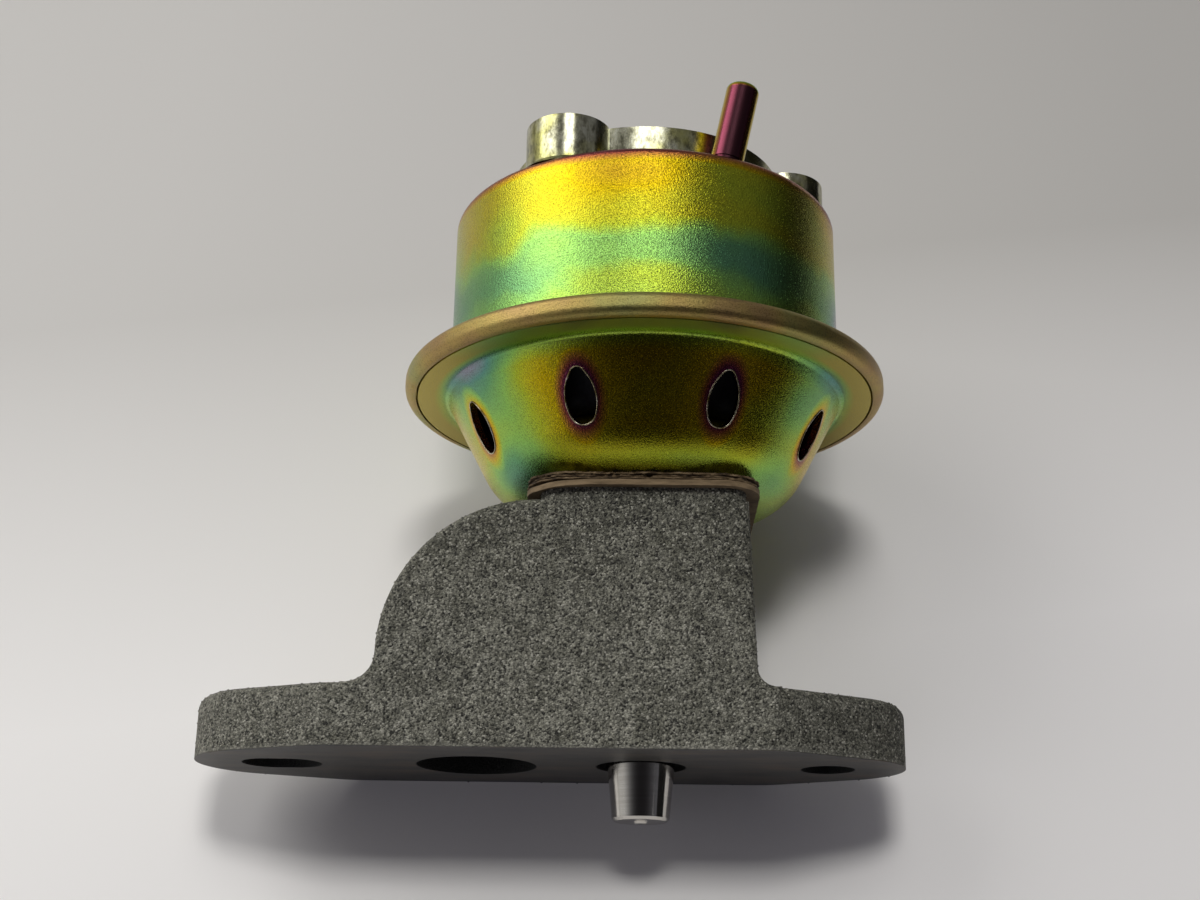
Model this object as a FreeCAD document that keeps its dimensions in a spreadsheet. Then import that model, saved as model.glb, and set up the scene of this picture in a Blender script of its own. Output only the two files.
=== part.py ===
# Vacuum-operated exhaust gas recirculation valve, in millimetres.
# The origin is on the mounting face under the flange, on the axis of the stem. +Z runs up the
# stem and +X runs along the flange, towards the round bolt hole. Hot gas comes up through the
# inlet port, turns in the cast elbow and leaves down past the tapered pintle.

import FreeCAD, Part
import math
import os
from types import SimpleNamespace

import Sketcher

Vector = FreeCAD.Vector

# Driving dimensions, in millimetres, with angles in degrees
SIZES = {
    # cast flange
    "flange_thick": 10.1,
    "flange_width": 38.1,
    "flange_corner": 12.0,
    "flange_edge": 2.2,
    "bolt_hole_x": 30.3,
    "bolt_spacing": 88.9,
    "bolt_hole_radius": 4.35,
    "slot_length": 13.0,
    "slot_width": 9.6,
    "left_end_radius": 14.0,
    "left_taper": 23.5,
    "right_end_radius": 12.5,
    "right_taper": 29.2,
    # cast elbow housing and its neck
    "housing_left": 41.8,
    "housing_height": 39.9,
    "left_wall": 0.2,
    "left_foot": 4.6,
    "wall_right_top": 16.85,
    "wall_right_foot": 18.0,
    "right_foot": 3.0,
    "foot_land": 0.6,
    "casting_edge": 1.3,
    "neck_left": 16.6,
    "neck_right": 16.6,
    "neck_rise": 1.9,
    "neck_corner": 3.6,
    # gas way
    "inlet_x": -26.8,
    "inlet_radius": 9.75,
    "elbow_inside": 1.25,
    "elbow_cover": 0.25,
    "port_radius": 7.27,
    "chamber_radius": 11.8,
    "chamber_roof": 9.9,
    "chamber_edge": 1.5,
    # valve seat and pintle
    "seat_floor": 3.5,
    "seat_radius": 10.0,
    "seat_height": 5.5,
    "seat_bore": 6.5,
    "seat_flare": 3.3,
    "tip_radius": 4.68,
    "tip_reach": 8.7,
    "tip_chamfer": 0.45,
    "nub_radius": 0.9,
    "nub_height": 0.3,
    "head_flare": 2.1,
    "head_band": 1.8,
    "hub_radius": 4.6,
    "hub_shoulder": 0.6,
    # stem and its guide
    "stem_radius": 3.175,
    "stem_socket": 5.0,
    "stem_step": 2.5,
    "stem_chamfer": 0.5,
    "peen_radius": 3.9,
    "peen_height": 1.9,
    "lift": 7.6,
    "guide_radius": 6.0,
    "guide_reach": 5.3,
    "guide_chamfer": 1.0,
    "packing_radius": 8.0,
    "packing_height": 2.2,
    "packing_depth": 3.8,
    "retainer_sheet": 1.2,
    "retainer_bore": 3.8,
    "shield_sheet": 1.0,
    "shield_flat": 8.9,
    "shield_spread": 0.8,
    "shield_drop": 4.0,
    "shield_bend": 1.3,
    # fibre gasket, in two plies
    "gasket_ply": 0.95,
    "gasket_overhang": 2.4,
    "gasket_proud": 1.75,
    "gasket_corner": 7.0,
    "gasket_bore": 8.6,
    # vented lower shell
    "shell_sheet": 1.2,
    "shell_floor_radius": 24.3,
    "shell_depth": 18.7,
    "shell_slope": 27.5,
    "shell_bend": 10.4,
    "shell_crease": 1.0,
    "shell_bore": 4.6,
    "rim_radius": 41.45,
    "rim_corner": 1.45,
    "hem_reach": 1.85,
    "joggle_run": 0.25,
    "vent_count": 8,
    "vent_tip": 5.79,
    "vent_tip_round": 1.3,
    "vent_heel": 7.91,
    "vent_heel_round": 2.2,
    "vent_side": 3.62,
    "vent_side_round": 7.0,
    "vent_waist": 0.22,
    "vent_height": 10.3,
    "vent_phase": 25.0,
    # clamp plate and screws in the bowl
    "clamp_margin": 0.59,
    "clamp_sheet": 1.5,
    "clamp_edge": 0.6,
    "screw_count": 4,
    "screw_margin": 0.3,
    "screw_radius": 2.0,
    "screw_length": 12.0,
    "screw_head_radius": 3.6,
    "screw_head_height": 2.2,
    "screw_head_round": 0.7,
    "screw_slot_width": 1.1,
    "screw_slot_depth": 1.0,
    # diaphragm and what it carries
    "diaphragm_sheet": 0.9,
    "diaphragm_drop": 10.7,
    "diaphragm_shoulder": 31.6,
    "diaphragm_bend": 3.5,
    "plate_sheet": 1.4,
    "plate_radius": 23.0,
    "plate_lip": 3.0,
    "plate_bend": 2.0,
    "cup_sheet": 1.2,
    "cup_rise": 7.0,
    "cup_bend": 3.2,
    "washer_radius": 6.5,
    "washer_thick": 1.2,
    "button_radius": 6.0,
    "button_wall": 2.0,
    "button_round": 1.4,
    # return spring and its seat under the roof
    "spring_radius": 17.0,
    "spring_play": 1.2,
    "cup_play": 2.0,
    "spring_wire": 1.0,
    "spring_turns": 5.5,
    "spring_seat_sheet": 1.2,
    "spring_seat_lip": 4.0,
    "spring_seat_bend": 2.0,
    # vacuum can
    "can_radius": 33.75,
    "can_height": 28.9,
    "can_sheet": 0.9,
    "can_roof_corner": 1.3,
    "can_foot_corner": 0.5,
    # seat of the lift sensor
    "base_height": 9.1,
    "base_foot": 1.2,
    "boss_count": 3,
    "boss_radius": 7.2,
    "boss_circle": 24.9,
    "boss_phase": -2.0,
    "boss_hole_radius": 1.75,
    "boss_hole_depth": 7.5,
    "sensor_bore": 8.0,
    "sensor_lead_in": 1.2,
    "spigot_radius": 9.5,
    "spigot_lip": 1.4,
    "seal_inner": 11.6,
    "seal_width": 2.2,
    "seal_depth": 1.0,
    # vacuum nipple
    "nipple_angle": 63.0,
    "roof_land": 0.3,
    "nipple_tilt": 12.0,
    "nipple_radius": 2.78,
    "nipple_bore": 1.3,
    "nipple_length": 15.9,
    "nipple_tail": 1.8,
    "nipple_tail_step": 0.18,
    "nipple_step": 1.5,
    "nipple_round": 1.0,
    "collar_radius": 3.3,
    "collar_height": 0.6,
    # clearances
    "press_gap": 0.02,
    "running_gap": 0.04,
    "slip_gap": 0.1,
    "body_gap": 0.3,
    "braze_gap": 0.35,
    "collar_gap": 0.35,
}

DOC = FreeCAD.newDocument("ExhaustValve")
SHEET = DOC.addObject("Spreadsheet::Sheet", "Sizes")


class Size:
    """A length or an angle: its value and the sheet formula that drives it."""

    def __init__(self, value, formula):
        self.value = float(value)
        self.formula = formula

    def __add__(self, other):
        other = as_size(other)
        return Size(self.value + other.value, f"({self.formula} + {other.formula})")

    def __sub__(self, other):
        other = as_size(other)
        return Size(self.value - other.value, f"({self.formula} - {other.formula})")

    def __mul__(self, other):
        other = as_size(other)
        return Size(self.value * other.value, f"({self.formula} * {other.formula})")

    def __truediv__(self, other):
        other = as_size(other)
        return Size(self.value / other.value, f"({self.formula} / {other.formula})")

    def __rsub__(self, other):
        return as_size(other) - self

    def __neg__(self):
        return Size(-self.value, f"(0 - {self.formula})")

    __radd__ = __add__
    __rmul__ = __mul__


def as_size(number):
    """A plain number as a Size, so that both mix in a sum."""
    if isinstance(number, Size):
        return number
    return Size(number, repr(float(number)))


def sine(angle):
    return Size(math.sin(math.radians(angle.value)), f"sin({angle.formula})")


def cosine(angle):
    return Size(math.cos(math.radians(angle.value)), f"cos({angle.formula})")


def slope(angle):
    return Size(math.tan(math.radians(angle.value)), f"tan({angle.formula})")


def fill_sheet():
    """Writes each driving dimension to the sheet and returns them all as Sizes."""
    for row, (alias, number) in enumerate(SIZES.items(), start=1):
        SHEET.set(f"A{row}", alias)
        SHEET.set(f"B{row}", str(number))
        SHEET.setAlias(f"B{row}", alias)
    DOC.recompute()
    return SimpleNamespace(**{alias: Size(SHEET.get(alias), f"Sizes.{alias}") for alias in SIZES})


mm = fill_sheet()

# Levels and places that several pieces share
slot_x = mm.bolt_hole_x - mm.bolt_spacing
half_width = mm.flange_width / 2
shoulder_radius = mm.housing_height - mm.flange_thick - mm.left_foot - mm.left_wall
neck_height = mm.housing_height + mm.neck_rise
chamber_top = mm.housing_height - mm.chamber_roof
elbow_height = chamber_top - mm.elbow_cover - mm.inlet_radius
elbow_bend = mm.inlet_radius + mm.elbow_inside
guide_bottom = chamber_top - mm.guide_reach
packing_floor = neck_height - mm.packing_depth
flare_level = mm.seat_floor + mm.seat_flare
shell_seat = neck_height + 2 * mm.gasket_ply
shell_floor = shell_seat + mm.shell_sheet
clamp_top = shell_floor + mm.clamp_sheet
flange_under = shell_seat + mm.shell_depth + mm.can_sheet
clamp_plane = flange_under + mm.shell_sheet
rim_top = clamp_plane + mm.diaphragm_sheet + mm.can_sheet
can_top = rim_top + mm.can_height
roof_under = can_top - mm.can_sheet
spring_top = roof_under - mm.spring_seat_sheet
diaphragm_under = clamp_plane - mm.diaphragm_drop
stem_shoulder = diaphragm_under - mm.plate_sheet
cup_under = diaphragm_under + mm.diaphragm_sheet
cup_floor = cup_under + mm.cup_sheet
washer_top = cup_floor + mm.washer_thick
step_bore = mm.stem_step + mm.press_gap
shell_wall_run = slope(mm.shell_slope)
crease_radius = mm.shell_floor_radius + mm.shell_depth * shell_wall_run
clamp_radius = mm.shell_floor_radius - mm.shell_bend * slope((90 - mm.shell_slope) / 2) - mm.clamp_margin
screw_circle = clamp_radius - mm.screw_head_radius - mm.screw_margin
clamped_radius = mm.rim_radius - mm.rim_corner - mm.press_gap
joggle_end = mm.rim_radius - mm.hem_reach - mm.slip_gap
joggle_rise = mm.shell_depth + mm.can_sheet
spring_reach = mm.spring_radius + mm.spring_wire
spring_seat_radius = spring_reach + mm.spring_play + mm.spring_seat_sheet
cup_foot = spring_reach + mm.cup_play + mm.cup_bend
diaphragm_flat = cup_foot + mm.diaphragm_sheet + mm.slip_gap
nipple_reach = mm.can_radius - mm.can_roof_corner - mm.roof_land - mm.collar_radius
nipple_x = nipple_reach * cosine(mm.nipple_angle)
nipple_y = -nipple_reach * sine(mm.nipple_angle)
nipple_tail_radius = mm.nipple_radius - mm.nipple_tail_step
base_radius = nipple_reach - mm.collar_radius - mm.collar_gap - mm.base_foot
spigot_bore = mm.spigot_radius + mm.slip_gap
collar_bore = nipple_tail_radius + mm.braze_gap


def new_body(label):
    """An empty body whose label is the name of its piece."""
    body = DOC.addObject("PartDesign::Body", label)
    body.Label = label
    return body


def origin_feature(body, role):
    return next(item for item in body.Origin.OriginFeatures if item.Role == role)


def place(item, x=0, y=0, z=0):
    """Binds the place of a piece to the sheet."""
    for axis, amount in (("x", x), ("y", y), ("z", z)):
        item.setExpression(f".Placement.Base.{axis}", as_size(amount).formula)


def turn(item, axis, angle):
    """Turns a piece about one axis by an angle of the sheet."""
    item.Placement = FreeCAD.Placement(Vector(0, 0, 0), FreeCAD.Rotation(axis, angle.value))
    item.setExpression(".Placement.Rotation.Angle", angle.formula)


def new_sketch(body, name, plane, level=0):
    """A sketch on a plane of its body, lifted off that plane by level."""
    sketch = body.newObject("Sketcher::SketchObject", name)
    sketch.AttachmentSupport = [(origin_feature(body, plane), "")]
    sketch.MapMode = "FlatFace"
    level = as_size(level)
    sketch.AttachmentOffset = FreeCAD.Placement(Vector(0, 0, level.value), FreeCAD.Rotation())
    sketch.setExpression(".AttachmentOffset.Base.z", level.formula)
    return sketch


def drive(sketch, constraint, amount):
    """Adds a dimension to a sketch and binds it to the sheet."""
    index = sketch.addConstraint(constraint)
    sketch.setExpression(f"Constraints[{index}]", amount.formula)


def fix_point(sketch, shape, end, x, y):
    """Fixes a point of the sketch at (x, y); a zero puts it on the axis."""
    if x.value == 0:
        sketch.addConstraint(Sketcher.Constraint("PointOnObject", shape, end, -2))
    else:
        drive(sketch, Sketcher.Constraint("DistanceX", -1, 1, shape, end, x.value), x)
    if y.value == 0:
        sketch.addConstraint(Sketcher.Constraint("PointOnObject", shape, end, -1))
    else:
        drive(sketch, Sketcher.Constraint("DistanceY", -1, 1, shape, end, y.value), y)


def heading(start, end):
    return math.atan2(end[1] - start[1], end[0] - start[0])


def turn_between(before, after):
    """The signed turn from one heading to the next, positive to the left."""
    return math.remainder(after - before, 2 * math.pi)


def corner_arc(point, before, after, radius):
    """The tangent arc that rounds a corner: its ends and the arc itself."""
    bend = turn_between(before, after)
    setback = radius * math.tan(abs(bend) / 2)
    entry = (point[0] - setback * math.cos(before), point[1] - setback * math.sin(before))
    leave = (point[0] + setback * math.cos(after), point[1] + setback * math.sin(after))
    side = math.copysign(math.pi / 2, bend)
    centre = (entry[0] + radius * math.cos(before + side), entry[1] + radius * math.sin(before + side))
    first, last = (before - side, after - side) if bend > 0 else (after - side, before - side)
    circle = Part.Circle(Vector(centre[0], centre[1], 0), Vector(0, 0, 1), radius)
    return entry, leave, Part.ArcOfCircle(circle, first, last), bend > 0


def add_chain(sketch, points, radii, closed):
    """Lines through points, with tangent arcs where a radius is given: (lines, arcs by corner)."""
    count = len(points)
    spans = count if closed else count - 1
    headings = [heading(points[i], points[(i + 1) % count]) for i in range(spans)]
    starts, ends, arcs = list(points), list(points), {}
    for i in range(count):
        inner = closed or 0 < i < count - 1
        if not (inner and radii[i]):
            continue
        entry, leave, arc, left = corner_arc(points[i], headings[i - 1], headings[i], radii[i])
        ends[i], starts[i] = entry, leave
        arcs[i] = (arc, left)
    lines = []
    for i in range(spans):
        start, end = starts[i], ends[(i + 1) % count]
        line = Part.LineSegment(Vector(start[0], start[1], 0), Vector(end[0], end[1], 0))
        lines.append(sketch.addGeometry(line))
    corners = {}
    for i, (arc, left) in arcs.items():
        bow = sketch.addGeometry(arc)
        corners[i] = bow
        entry_end, leave_end = (1, 2) if left else (2, 1)
        sketch.addConstraint(Sketcher.Constraint("Tangent", lines[i - 1], 2, bow, entry_end))
        sketch.addConstraint(Sketcher.Constraint("Tangent", bow, leave_end, lines[i % spans], 1))
    for i in range(count):
        if i not in arcs and (closed or 0 < i < count - 1):
            sketch.addConstraint(Sketcher.Constraint("Coincident", lines[i - 1], 2, lines[i], 1))
    return lines, corners


def fix_corners(sketch, corners, lines, arcs, closed):
    """Binds each corner of a chain to its place in the sheet, rounded or not."""
    count = len(corners)
    for i, corner in enumerate(corners):
        x, y = as_size(corner[0]), as_size(corner[1])
        if i in arcs:
            tip = sketch.addGeometry(Part.Point(Vector(x.value, y.value, 0)), True)
            sketch.addConstraint(Sketcher.Constraint("PointOnObject", tip, 1, lines[i - 1]))
            sketch.addConstraint(Sketcher.Constraint("PointOnObject", tip, 1, lines[i]))
            fix_point(sketch, tip, 1, x, y)
            drive(sketch, Sketcher.Constraint("Radius", arcs[i], corner[2].value), corner[2])
        elif not closed and i == count - 1:
            fix_point(sketch, lines[-1], 2, x, y)
        else:
            fix_point(sketch, lines[i], 1, x, y)


def outline(body, name, plane, corners, level=0):
    """A closed sketch through corners (x, y) or (x, y, radius of its round)."""
    sketch = new_sketch(body, name, plane, level)
    points = [(as_size(corner[0]).value, as_size(corner[1]).value) for corner in corners]
    radii = [corner[2].value if len(corner) > 2 else 0 for corner in corners]
    lines, arcs = add_chain(sketch, points, radii, True)
    fix_corners(sketch, corners, lines, arcs, True)
    return sketch


def offset_points(points, distance):
    """The corners of a parallel line, distance to the left of points."""
    spans = [heading(points[i], points[i + 1]) for i in range(len(points) - 1)]
    moved = []
    for i, point in enumerate(points):
        before = spans[max(i - 1, 0)]
        after = spans[min(i, len(spans) - 1)]
        reach = distance / math.cos(turn_between(before, after) / 2)
        aim = before + turn_between(before, after) / 2 + math.pi / 2
        moved.append((point[0] + reach * math.cos(aim), point[1] + reach * math.sin(aim)))
    return moved


def sheet_section(body, name, corners, sheet, side):
    """The section of a pressed sheet: one face through corners, the other parallel to it.

    The sheet lies to the left of the corners when side is 1, and to the right when it is -1.
    """
    sketch = new_sketch(body, name, "XZ_Plane")
    points = [(as_size(corner[0]).value, as_size(corner[1]).value) for corner in corners]
    radii = [corner[2].value if len(corner) > 2 else 0 for corner in corners]
    lines, arcs = add_chain(sketch, points, radii, False)
    fix_corners(sketch, corners, lines, arcs, False)
    spans = [heading(points[i], points[i + 1]) for i in range(len(points) - 1)]
    far_radii = list(radii)
    for i in arcs:
        bends_left = turn_between(spans[i - 1], spans[i]) > 0
        far_radii[i] = radii[i] - sheet.value if bends_left == (side > 0) else radii[i] + sheet.value
    far_points = offset_points(points, side * sheet.value)
    far_lines, far_arcs = add_chain(sketch, far_points, far_radii, False)
    for i, far_line in enumerate(far_lines):
        sketch.addConstraint(Sketcher.Constraint("Parallel", lines[i], far_line))
        drive(sketch, Sketcher.Constraint("Distance", far_line, 1, lines[i], sheet.value), sheet)
    for i, far_arc in far_arcs.items():
        radius = corners[i][2] - sheet if far_radii[i] < radii[i] else corners[i][2] + sheet
        drive(sketch, Sketcher.Constraint("Radius", far_arc, radius.value), radius)
    for end, near, far in ((1, lines[0], far_lines[0]), (2, lines[-1], far_lines[-1])):
        points_at = {1: (points[0], far_points[0]), 2: (points[-1], far_points[-1])}[end]
        start, stop = points_at
        cap = sketch.addGeometry(Part.LineSegment(Vector(*start, 0), Vector(*stop, 0)))
        sketch.addConstraint(Sketcher.Constraint("Coincident", near, end, cap, 1))
        sketch.addConstraint(Sketcher.Constraint("Coincident", far, end, cap, 2))
        sketch.addConstraint(Sketcher.Constraint("Perpendicular", near, cap))
    return sketch


def circles(body, name, plane, rings, level=0):
    """A sketch of circles (x, y, radius)."""
    sketch = new_sketch(body, name, plane, level)
    for x, y, radius in rings:
        x, y = as_size(x), as_size(y)
        ring = Part.Circle(Vector(x.value, y.value, 0), Vector(0, 0, 1), radius.value)
        index = sketch.addGeometry(ring)
        fix_point(sketch, index, 3, x, y)
        drive(sketch, Sketcher.Constraint("Radius", index, radius.value), radius)
    return sketch


def slot(sketch, x, y, length, width, upright):
    """Adds a slot with round ends to a sketch, along its X axis or upright."""
    reach = (length - width) / 2
    radius = width / 2
    arcs = []
    for way in (1, -1):
        across = as_size(x) if upright else as_size(x) + way * reach
        along = as_size(y) + way * reach if upright else as_size(y)
        middle = (0 if way > 0 else math.pi) + (math.pi / 2 if upright else 0)
        circle = Part.Circle(Vector(across.value, along.value, 0), Vector(0, 0, 1), radius.value)
        arc = Part.ArcOfCircle(circle, middle - math.pi / 2, middle + math.pi / 2)
        index = sketch.addGeometry(arc)
        fix_point(sketch, index, 3, across, along)
        drive(sketch, Sketcher.Constraint("Radius", index, radius.value), radius)
        arcs.append((index, arc))
    for (first, first_arc), (second, second_arc) in (arcs, arcs[::-1]):
        side = sketch.addGeometry(Part.LineSegment(first_arc.EndPoint, second_arc.StartPoint))
        sketch.addConstraint(Sketcher.Constraint("Tangent", first, 2, side, 1))
        sketch.addConstraint(Sketcher.Constraint("Tangent", side, 2, second, 1))


def revolve(body, sketch):
    feature = body.newObject("PartDesign::Revolution", f"{sketch.Name}_turned")
    feature.Profile = sketch
    feature.ReferenceAxis = (sketch, ["V_Axis"])
    feature.Angle = 360
    DOC.recompute()
    return feature


def pad(body, sketch, length, midplane=False, taper=0):
    feature = body.newObject("PartDesign::Pad", f"{sketch.Name}_pad")
    feature.Profile = sketch
    feature.setExpression("Length", length.formula)
    feature.Midplane = midplane
    feature.TaperAngle = taper
    DOC.recompute()
    return feature


def cut(body, feature):
    """Recomputes a cutting feature and makes sure that it took something away."""
    before = feature.BaseFeature.Shape.Volume
    DOC.recompute()
    if feature.Shape.Volume >= before - 1e-6:
        raise RuntimeError(f"{body.Label}: {feature.Name} cuts nothing")
    return feature


def pocket(body, sketch, depth, upwards=False, midplane=False):
    feature = body.newObject("PartDesign::Pocket", f"{sketch.Name}_cut")
    feature.Profile = sketch
    feature.setExpression("Length", depth.formula)
    feature.Reversed = upwards
    feature.Midplane = midplane
    return cut(body, feature)


def groove(body, sketch):
    feature = body.newObject("PartDesign::Groove", f"{sketch.Name}_turned")
    feature.Profile = sketch
    feature.ReferenceAxis = (sketch, ["V_Axis"])
    feature.Angle = 360
    return cut(body, feature)


def round_edges(body, feature, radius, wanted):
    """Rounds the edges of a feature that wanted picks."""
    names = [f"Edge{i}" for i, edge in enumerate(feature.Shape.Edges, start=1) if wanted(edge)]
    rounded = body.newObject("PartDesign::Fillet", f"{feature.Name}_round")
    rounded.Base = (feature, names)
    rounded.setExpression("Radius", radius.formula)
    DOC.recompute()
    return rounded


def around(body, feature, count):
    """Repeats a feature evenly about the axis of its body."""
    pattern = body.newObject("PartDesign::PolarPattern", f"{feature.Name}_around")
    pattern.Originals = [feature]
    pattern.Axis = (origin_feature(body, "Z_Axis"), [""])
    pattern.Angle = 360
    pattern.setExpression("Occurrences", count.formula)
    body.Tip = pattern
    DOC.recompute()
    return pattern


def turned_piece(label, corners):
    """A piece turned from one closed section (radius, height)."""
    body = new_body(label)
    revolve(body, outline(body, f"{label}_section", "XZ_Plane", corners))
    return body


def pressed_piece(label, corners, sheet, side):
    """A round piece pressed from sheet, whose one face runs through corners."""
    body = new_body(label)
    revolve(body, sheet_section(body, f"{label}_section", corners, sheet, side))
    return body


def screw_holes(body, radius, level, depth, phase=0):
    """Cuts the ring of screw holes downwards from level."""
    angle = 45 - as_size(phase)
    spot = (screw_circle * cosine(angle), screw_circle * sine(angle), radius)
    sketch = circles(body, f"{body.Name}_screw_hole", "XY_Plane", [spot], level)
    return around(body, pocket(body, sketch, depth), mm.screw_count)


def make_housing_form():
    """The outside of the elbow housing and neck, before it joins the flange."""
    body = new_body("housing_form")
    left_land = mm.housing_left + mm.left_foot + mm.foot_land
    right_land = mm.wall_right_foot + mm.right_foot + mm.foot_land
    section = outline(body, "housing_section", "XZ_Plane", [
        (-left_land, 0),
        (right_land, 0),
        (right_land, mm.flange_thick),
        (mm.wall_right_foot, mm.flange_thick, mm.right_foot),
        (mm.wall_right_top, mm.housing_height),
        (-mm.housing_left, mm.housing_height, shoulder_radius),
        (-mm.housing_left, mm.flange_thick, mm.left_foot),
        (-left_land, mm.flange_thick),
    ])
    housing = pad(body, section, mm.flange_width, midplane=True)
    face_y = half_width.value

    def on_side_face(edge):
        box = edge.BoundBox
        return box.YLength < 1e-6 and abs(abs(box.YMin) - face_y) < 1e-6

    round_edges(body, housing, mm.casting_edge, on_side_face)
    neck = outline(body, "neck_outline", "XY_Plane", [
        (-mm.neck_left, -half_width, mm.neck_corner),
        (mm.neck_right, -half_width, mm.neck_corner),
        (mm.neck_right, half_width, mm.neck_corner),
        (-mm.neck_left, half_width, mm.neck_corner),
    ], packing_floor)
    pad(body, neck, neck_height - packing_floor)
    return body


def make_valve_body():
    """The casting: flange, elbow housing and neck, with its gas way and bores."""
    body = new_body("valve_body")
    left_apex = slot_x - mm.left_end_radius / sine(mm.left_taper)
    right_apex = mm.bolt_hole_x + mm.right_end_radius / sine(mm.right_taper)
    left_corner = left_apex + half_width / slope(mm.left_taper)
    right_corner = right_apex - half_width / slope(mm.right_taper)
    flange = pad(body, outline(body, "flange_outline", "XY_Plane", [
        (left_apex, 0, mm.left_end_radius),
        (left_corner, -half_width, mm.flange_corner),
        (right_corner, -half_width, mm.flange_corner),
        (right_apex, 0, mm.right_end_radius),
        (right_corner, half_width, mm.flange_corner),
        (left_corner, half_width, mm.flange_corner),
    ]), mm.flange_thick)
    top = mm.flange_thick.value
    round_edges(body, flange, mm.flange_edge, lambda edge: edge.BoundBox.ZMin > top - 1e-6)
    joined = body.newObject("PartDesign::Boolean", "casting_form")
    joined.addObject(make_housing_form())
    joined.Type = "Fuse"
    DOC.recompute()

    holes = circles(body, "bolt_hole", "XY_Plane", [(mm.bolt_hole_x, 0, mm.bolt_hole_radius)])
    slot(holes, slot_x, 0, mm.slot_length, mm.slot_width, upright=False)
    pocket(body, holes, mm.flange_thick, upwards=True)

    way = new_sketch(body, "gas_way", "XZ_Plane")
    path = [(mm.inlet_x, 0), (mm.inlet_x, elbow_height, elbow_bend), (-mm.guide_radius, elbow_height)]
    points = [(as_size(corner[0]).value, as_size(corner[1]).value) for corner in path]
    lines, arcs = add_chain(way, points, [0, elbow_bend.value, 0], False)
    fix_corners(way, path, lines, arcs, False)
    mouth = circles(body, "inlet_mouth", "XY_Plane", [(mm.inlet_x, 0, mm.inlet_radius)])
    passage = body.newObject("PartDesign::SubtractivePipe", "gas_passage")
    passage.Profile = mouth
    passage.Spine = (way, [f"Edge{i}" for i in (1, 2, 3)])
    cut(body, passage)

    groove(body, outline(body, "valve_bores", "XZ_Plane", [
        (0, 0),
        (mm.port_radius, 0),
        (mm.port_radius, mm.seat_floor),
        (mm.seat_radius, mm.seat_floor),
        (mm.seat_radius, mm.seat_floor + mm.seat_height),
        (mm.chamber_radius, mm.seat_floor + mm.seat_height),
        (mm.chamber_radius, chamber_top, mm.chamber_edge),
        (mm.guide_radius, chamber_top),
        (mm.guide_radius, packing_floor),
        (mm.packing_radius, packing_floor),
        (mm.packing_radius, neck_height),
        (0, neck_height),
    ]))
    grip = mm.screw_length - mm.clamp_sheet - mm.shell_sheet - 2 * mm.gasket_ply
    screw_holes(body, mm.screw_radius, neck_height, grip + mm.body_gap)
    return body


def make_seat_ring():
    flare = mm.seat_height - mm.seat_flare
    return turned_piece("seat_ring", [
        (mm.seat_bore, mm.seat_floor),
        (mm.seat_radius - mm.press_gap, mm.seat_floor),
        (mm.seat_radius - mm.press_gap, mm.seat_floor + mm.seat_height),
        (mm.seat_bore + flare, mm.seat_floor + mm.seat_height),
        (mm.seat_bore, flare_level),
    ])


def make_valve_pintle():
    """The tapered plug: its 45 degree head rests in the seat and its cone hangs in the port."""
    neck = mm.seat_bore - mm.body_gap * math.sqrt(2)
    head = neck + mm.head_flare
    head_top = flare_level + mm.head_flare + mm.head_band
    hub_top = guide_bottom - mm.lift - mm.body_gap
    socket = mm.stem_radius + mm.press_gap
    return turned_piece("valve_pintle", [
        (0, -mm.tip_reach - mm.nub_height),
        (mm.nub_radius, -mm.tip_reach - mm.nub_height),
        (mm.nub_radius + mm.nub_height, -mm.tip_reach),
        (mm.tip_radius - mm.tip_chamfer, -mm.tip_reach),
        (mm.tip_radius, mm.tip_chamfer - mm.tip_reach),
        (neck, flare_level),
        (head, flare_level + mm.head_flare),
        (head, head_top, mm.hub_shoulder),
        (mm.hub_radius, head_top, mm.hub_shoulder),
        (mm.hub_radius, hub_top),
        (socket, hub_top),
        (socket, mm.stem_socket),
        (0, mm.stem_socket),
    ])


def make_valve_stem():
    """The rod from the pintle to the diaphragm plates, with its upper end peened over."""
    foot = mm.stem_socket + mm.press_gap
    return turned_piece("valve_stem", [
        (0, foot),
        (mm.stem_radius - mm.stem_chamfer, foot),
        (mm.stem_radius, foot + mm.stem_chamfer),
        (mm.stem_radius, stem_shoulder),
        (mm.stem_step, stem_shoulder),
        (mm.stem_step, washer_top),
        (mm.peen_radius, washer_top),
        (mm.peen_radius, washer_top + mm.peen_height, mm.stem_chamfer),
        (0, washer_top + mm.peen_height),
    ])


def make_stem_bushing():
    bore = mm.stem_radius + mm.running_gap
    outside = mm.guide_radius - mm.press_gap
    return turned_piece("stem_bushing", [
        (bore, guide_bottom),
        (outside - mm.guide_chamfer, guide_bottom),
        (outside, guide_bottom + mm.guide_chamfer),
        (outside, packing_floor),
        (bore, packing_floor),
    ])


def make_heat_shield():
    inner = mm.guide_radius + mm.press_gap
    return pressed_piece("heat_shield", [
        (inner, chamber_top),
        (mm.shield_flat, chamber_top, mm.shield_bend),
        (mm.shield_flat + mm.shield_spread, chamber_top - mm.shield_drop),
    ], mm.shield_sheet, -1)


def make_stem_seal():
    inner = mm.stem_radius + mm.running_gap
    outer = mm.packing_radius - mm.press_gap
    return turned_piece("stem_seal", [
        (inner, packing_floor),
        (outer, packing_floor),
        (outer, packing_floor + mm.packing_height),
        (inner + mm.stem_chamfer, packing_floor + mm.packing_height),
        (inner, packing_floor + mm.packing_height - mm.stem_chamfer),
    ])


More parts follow.
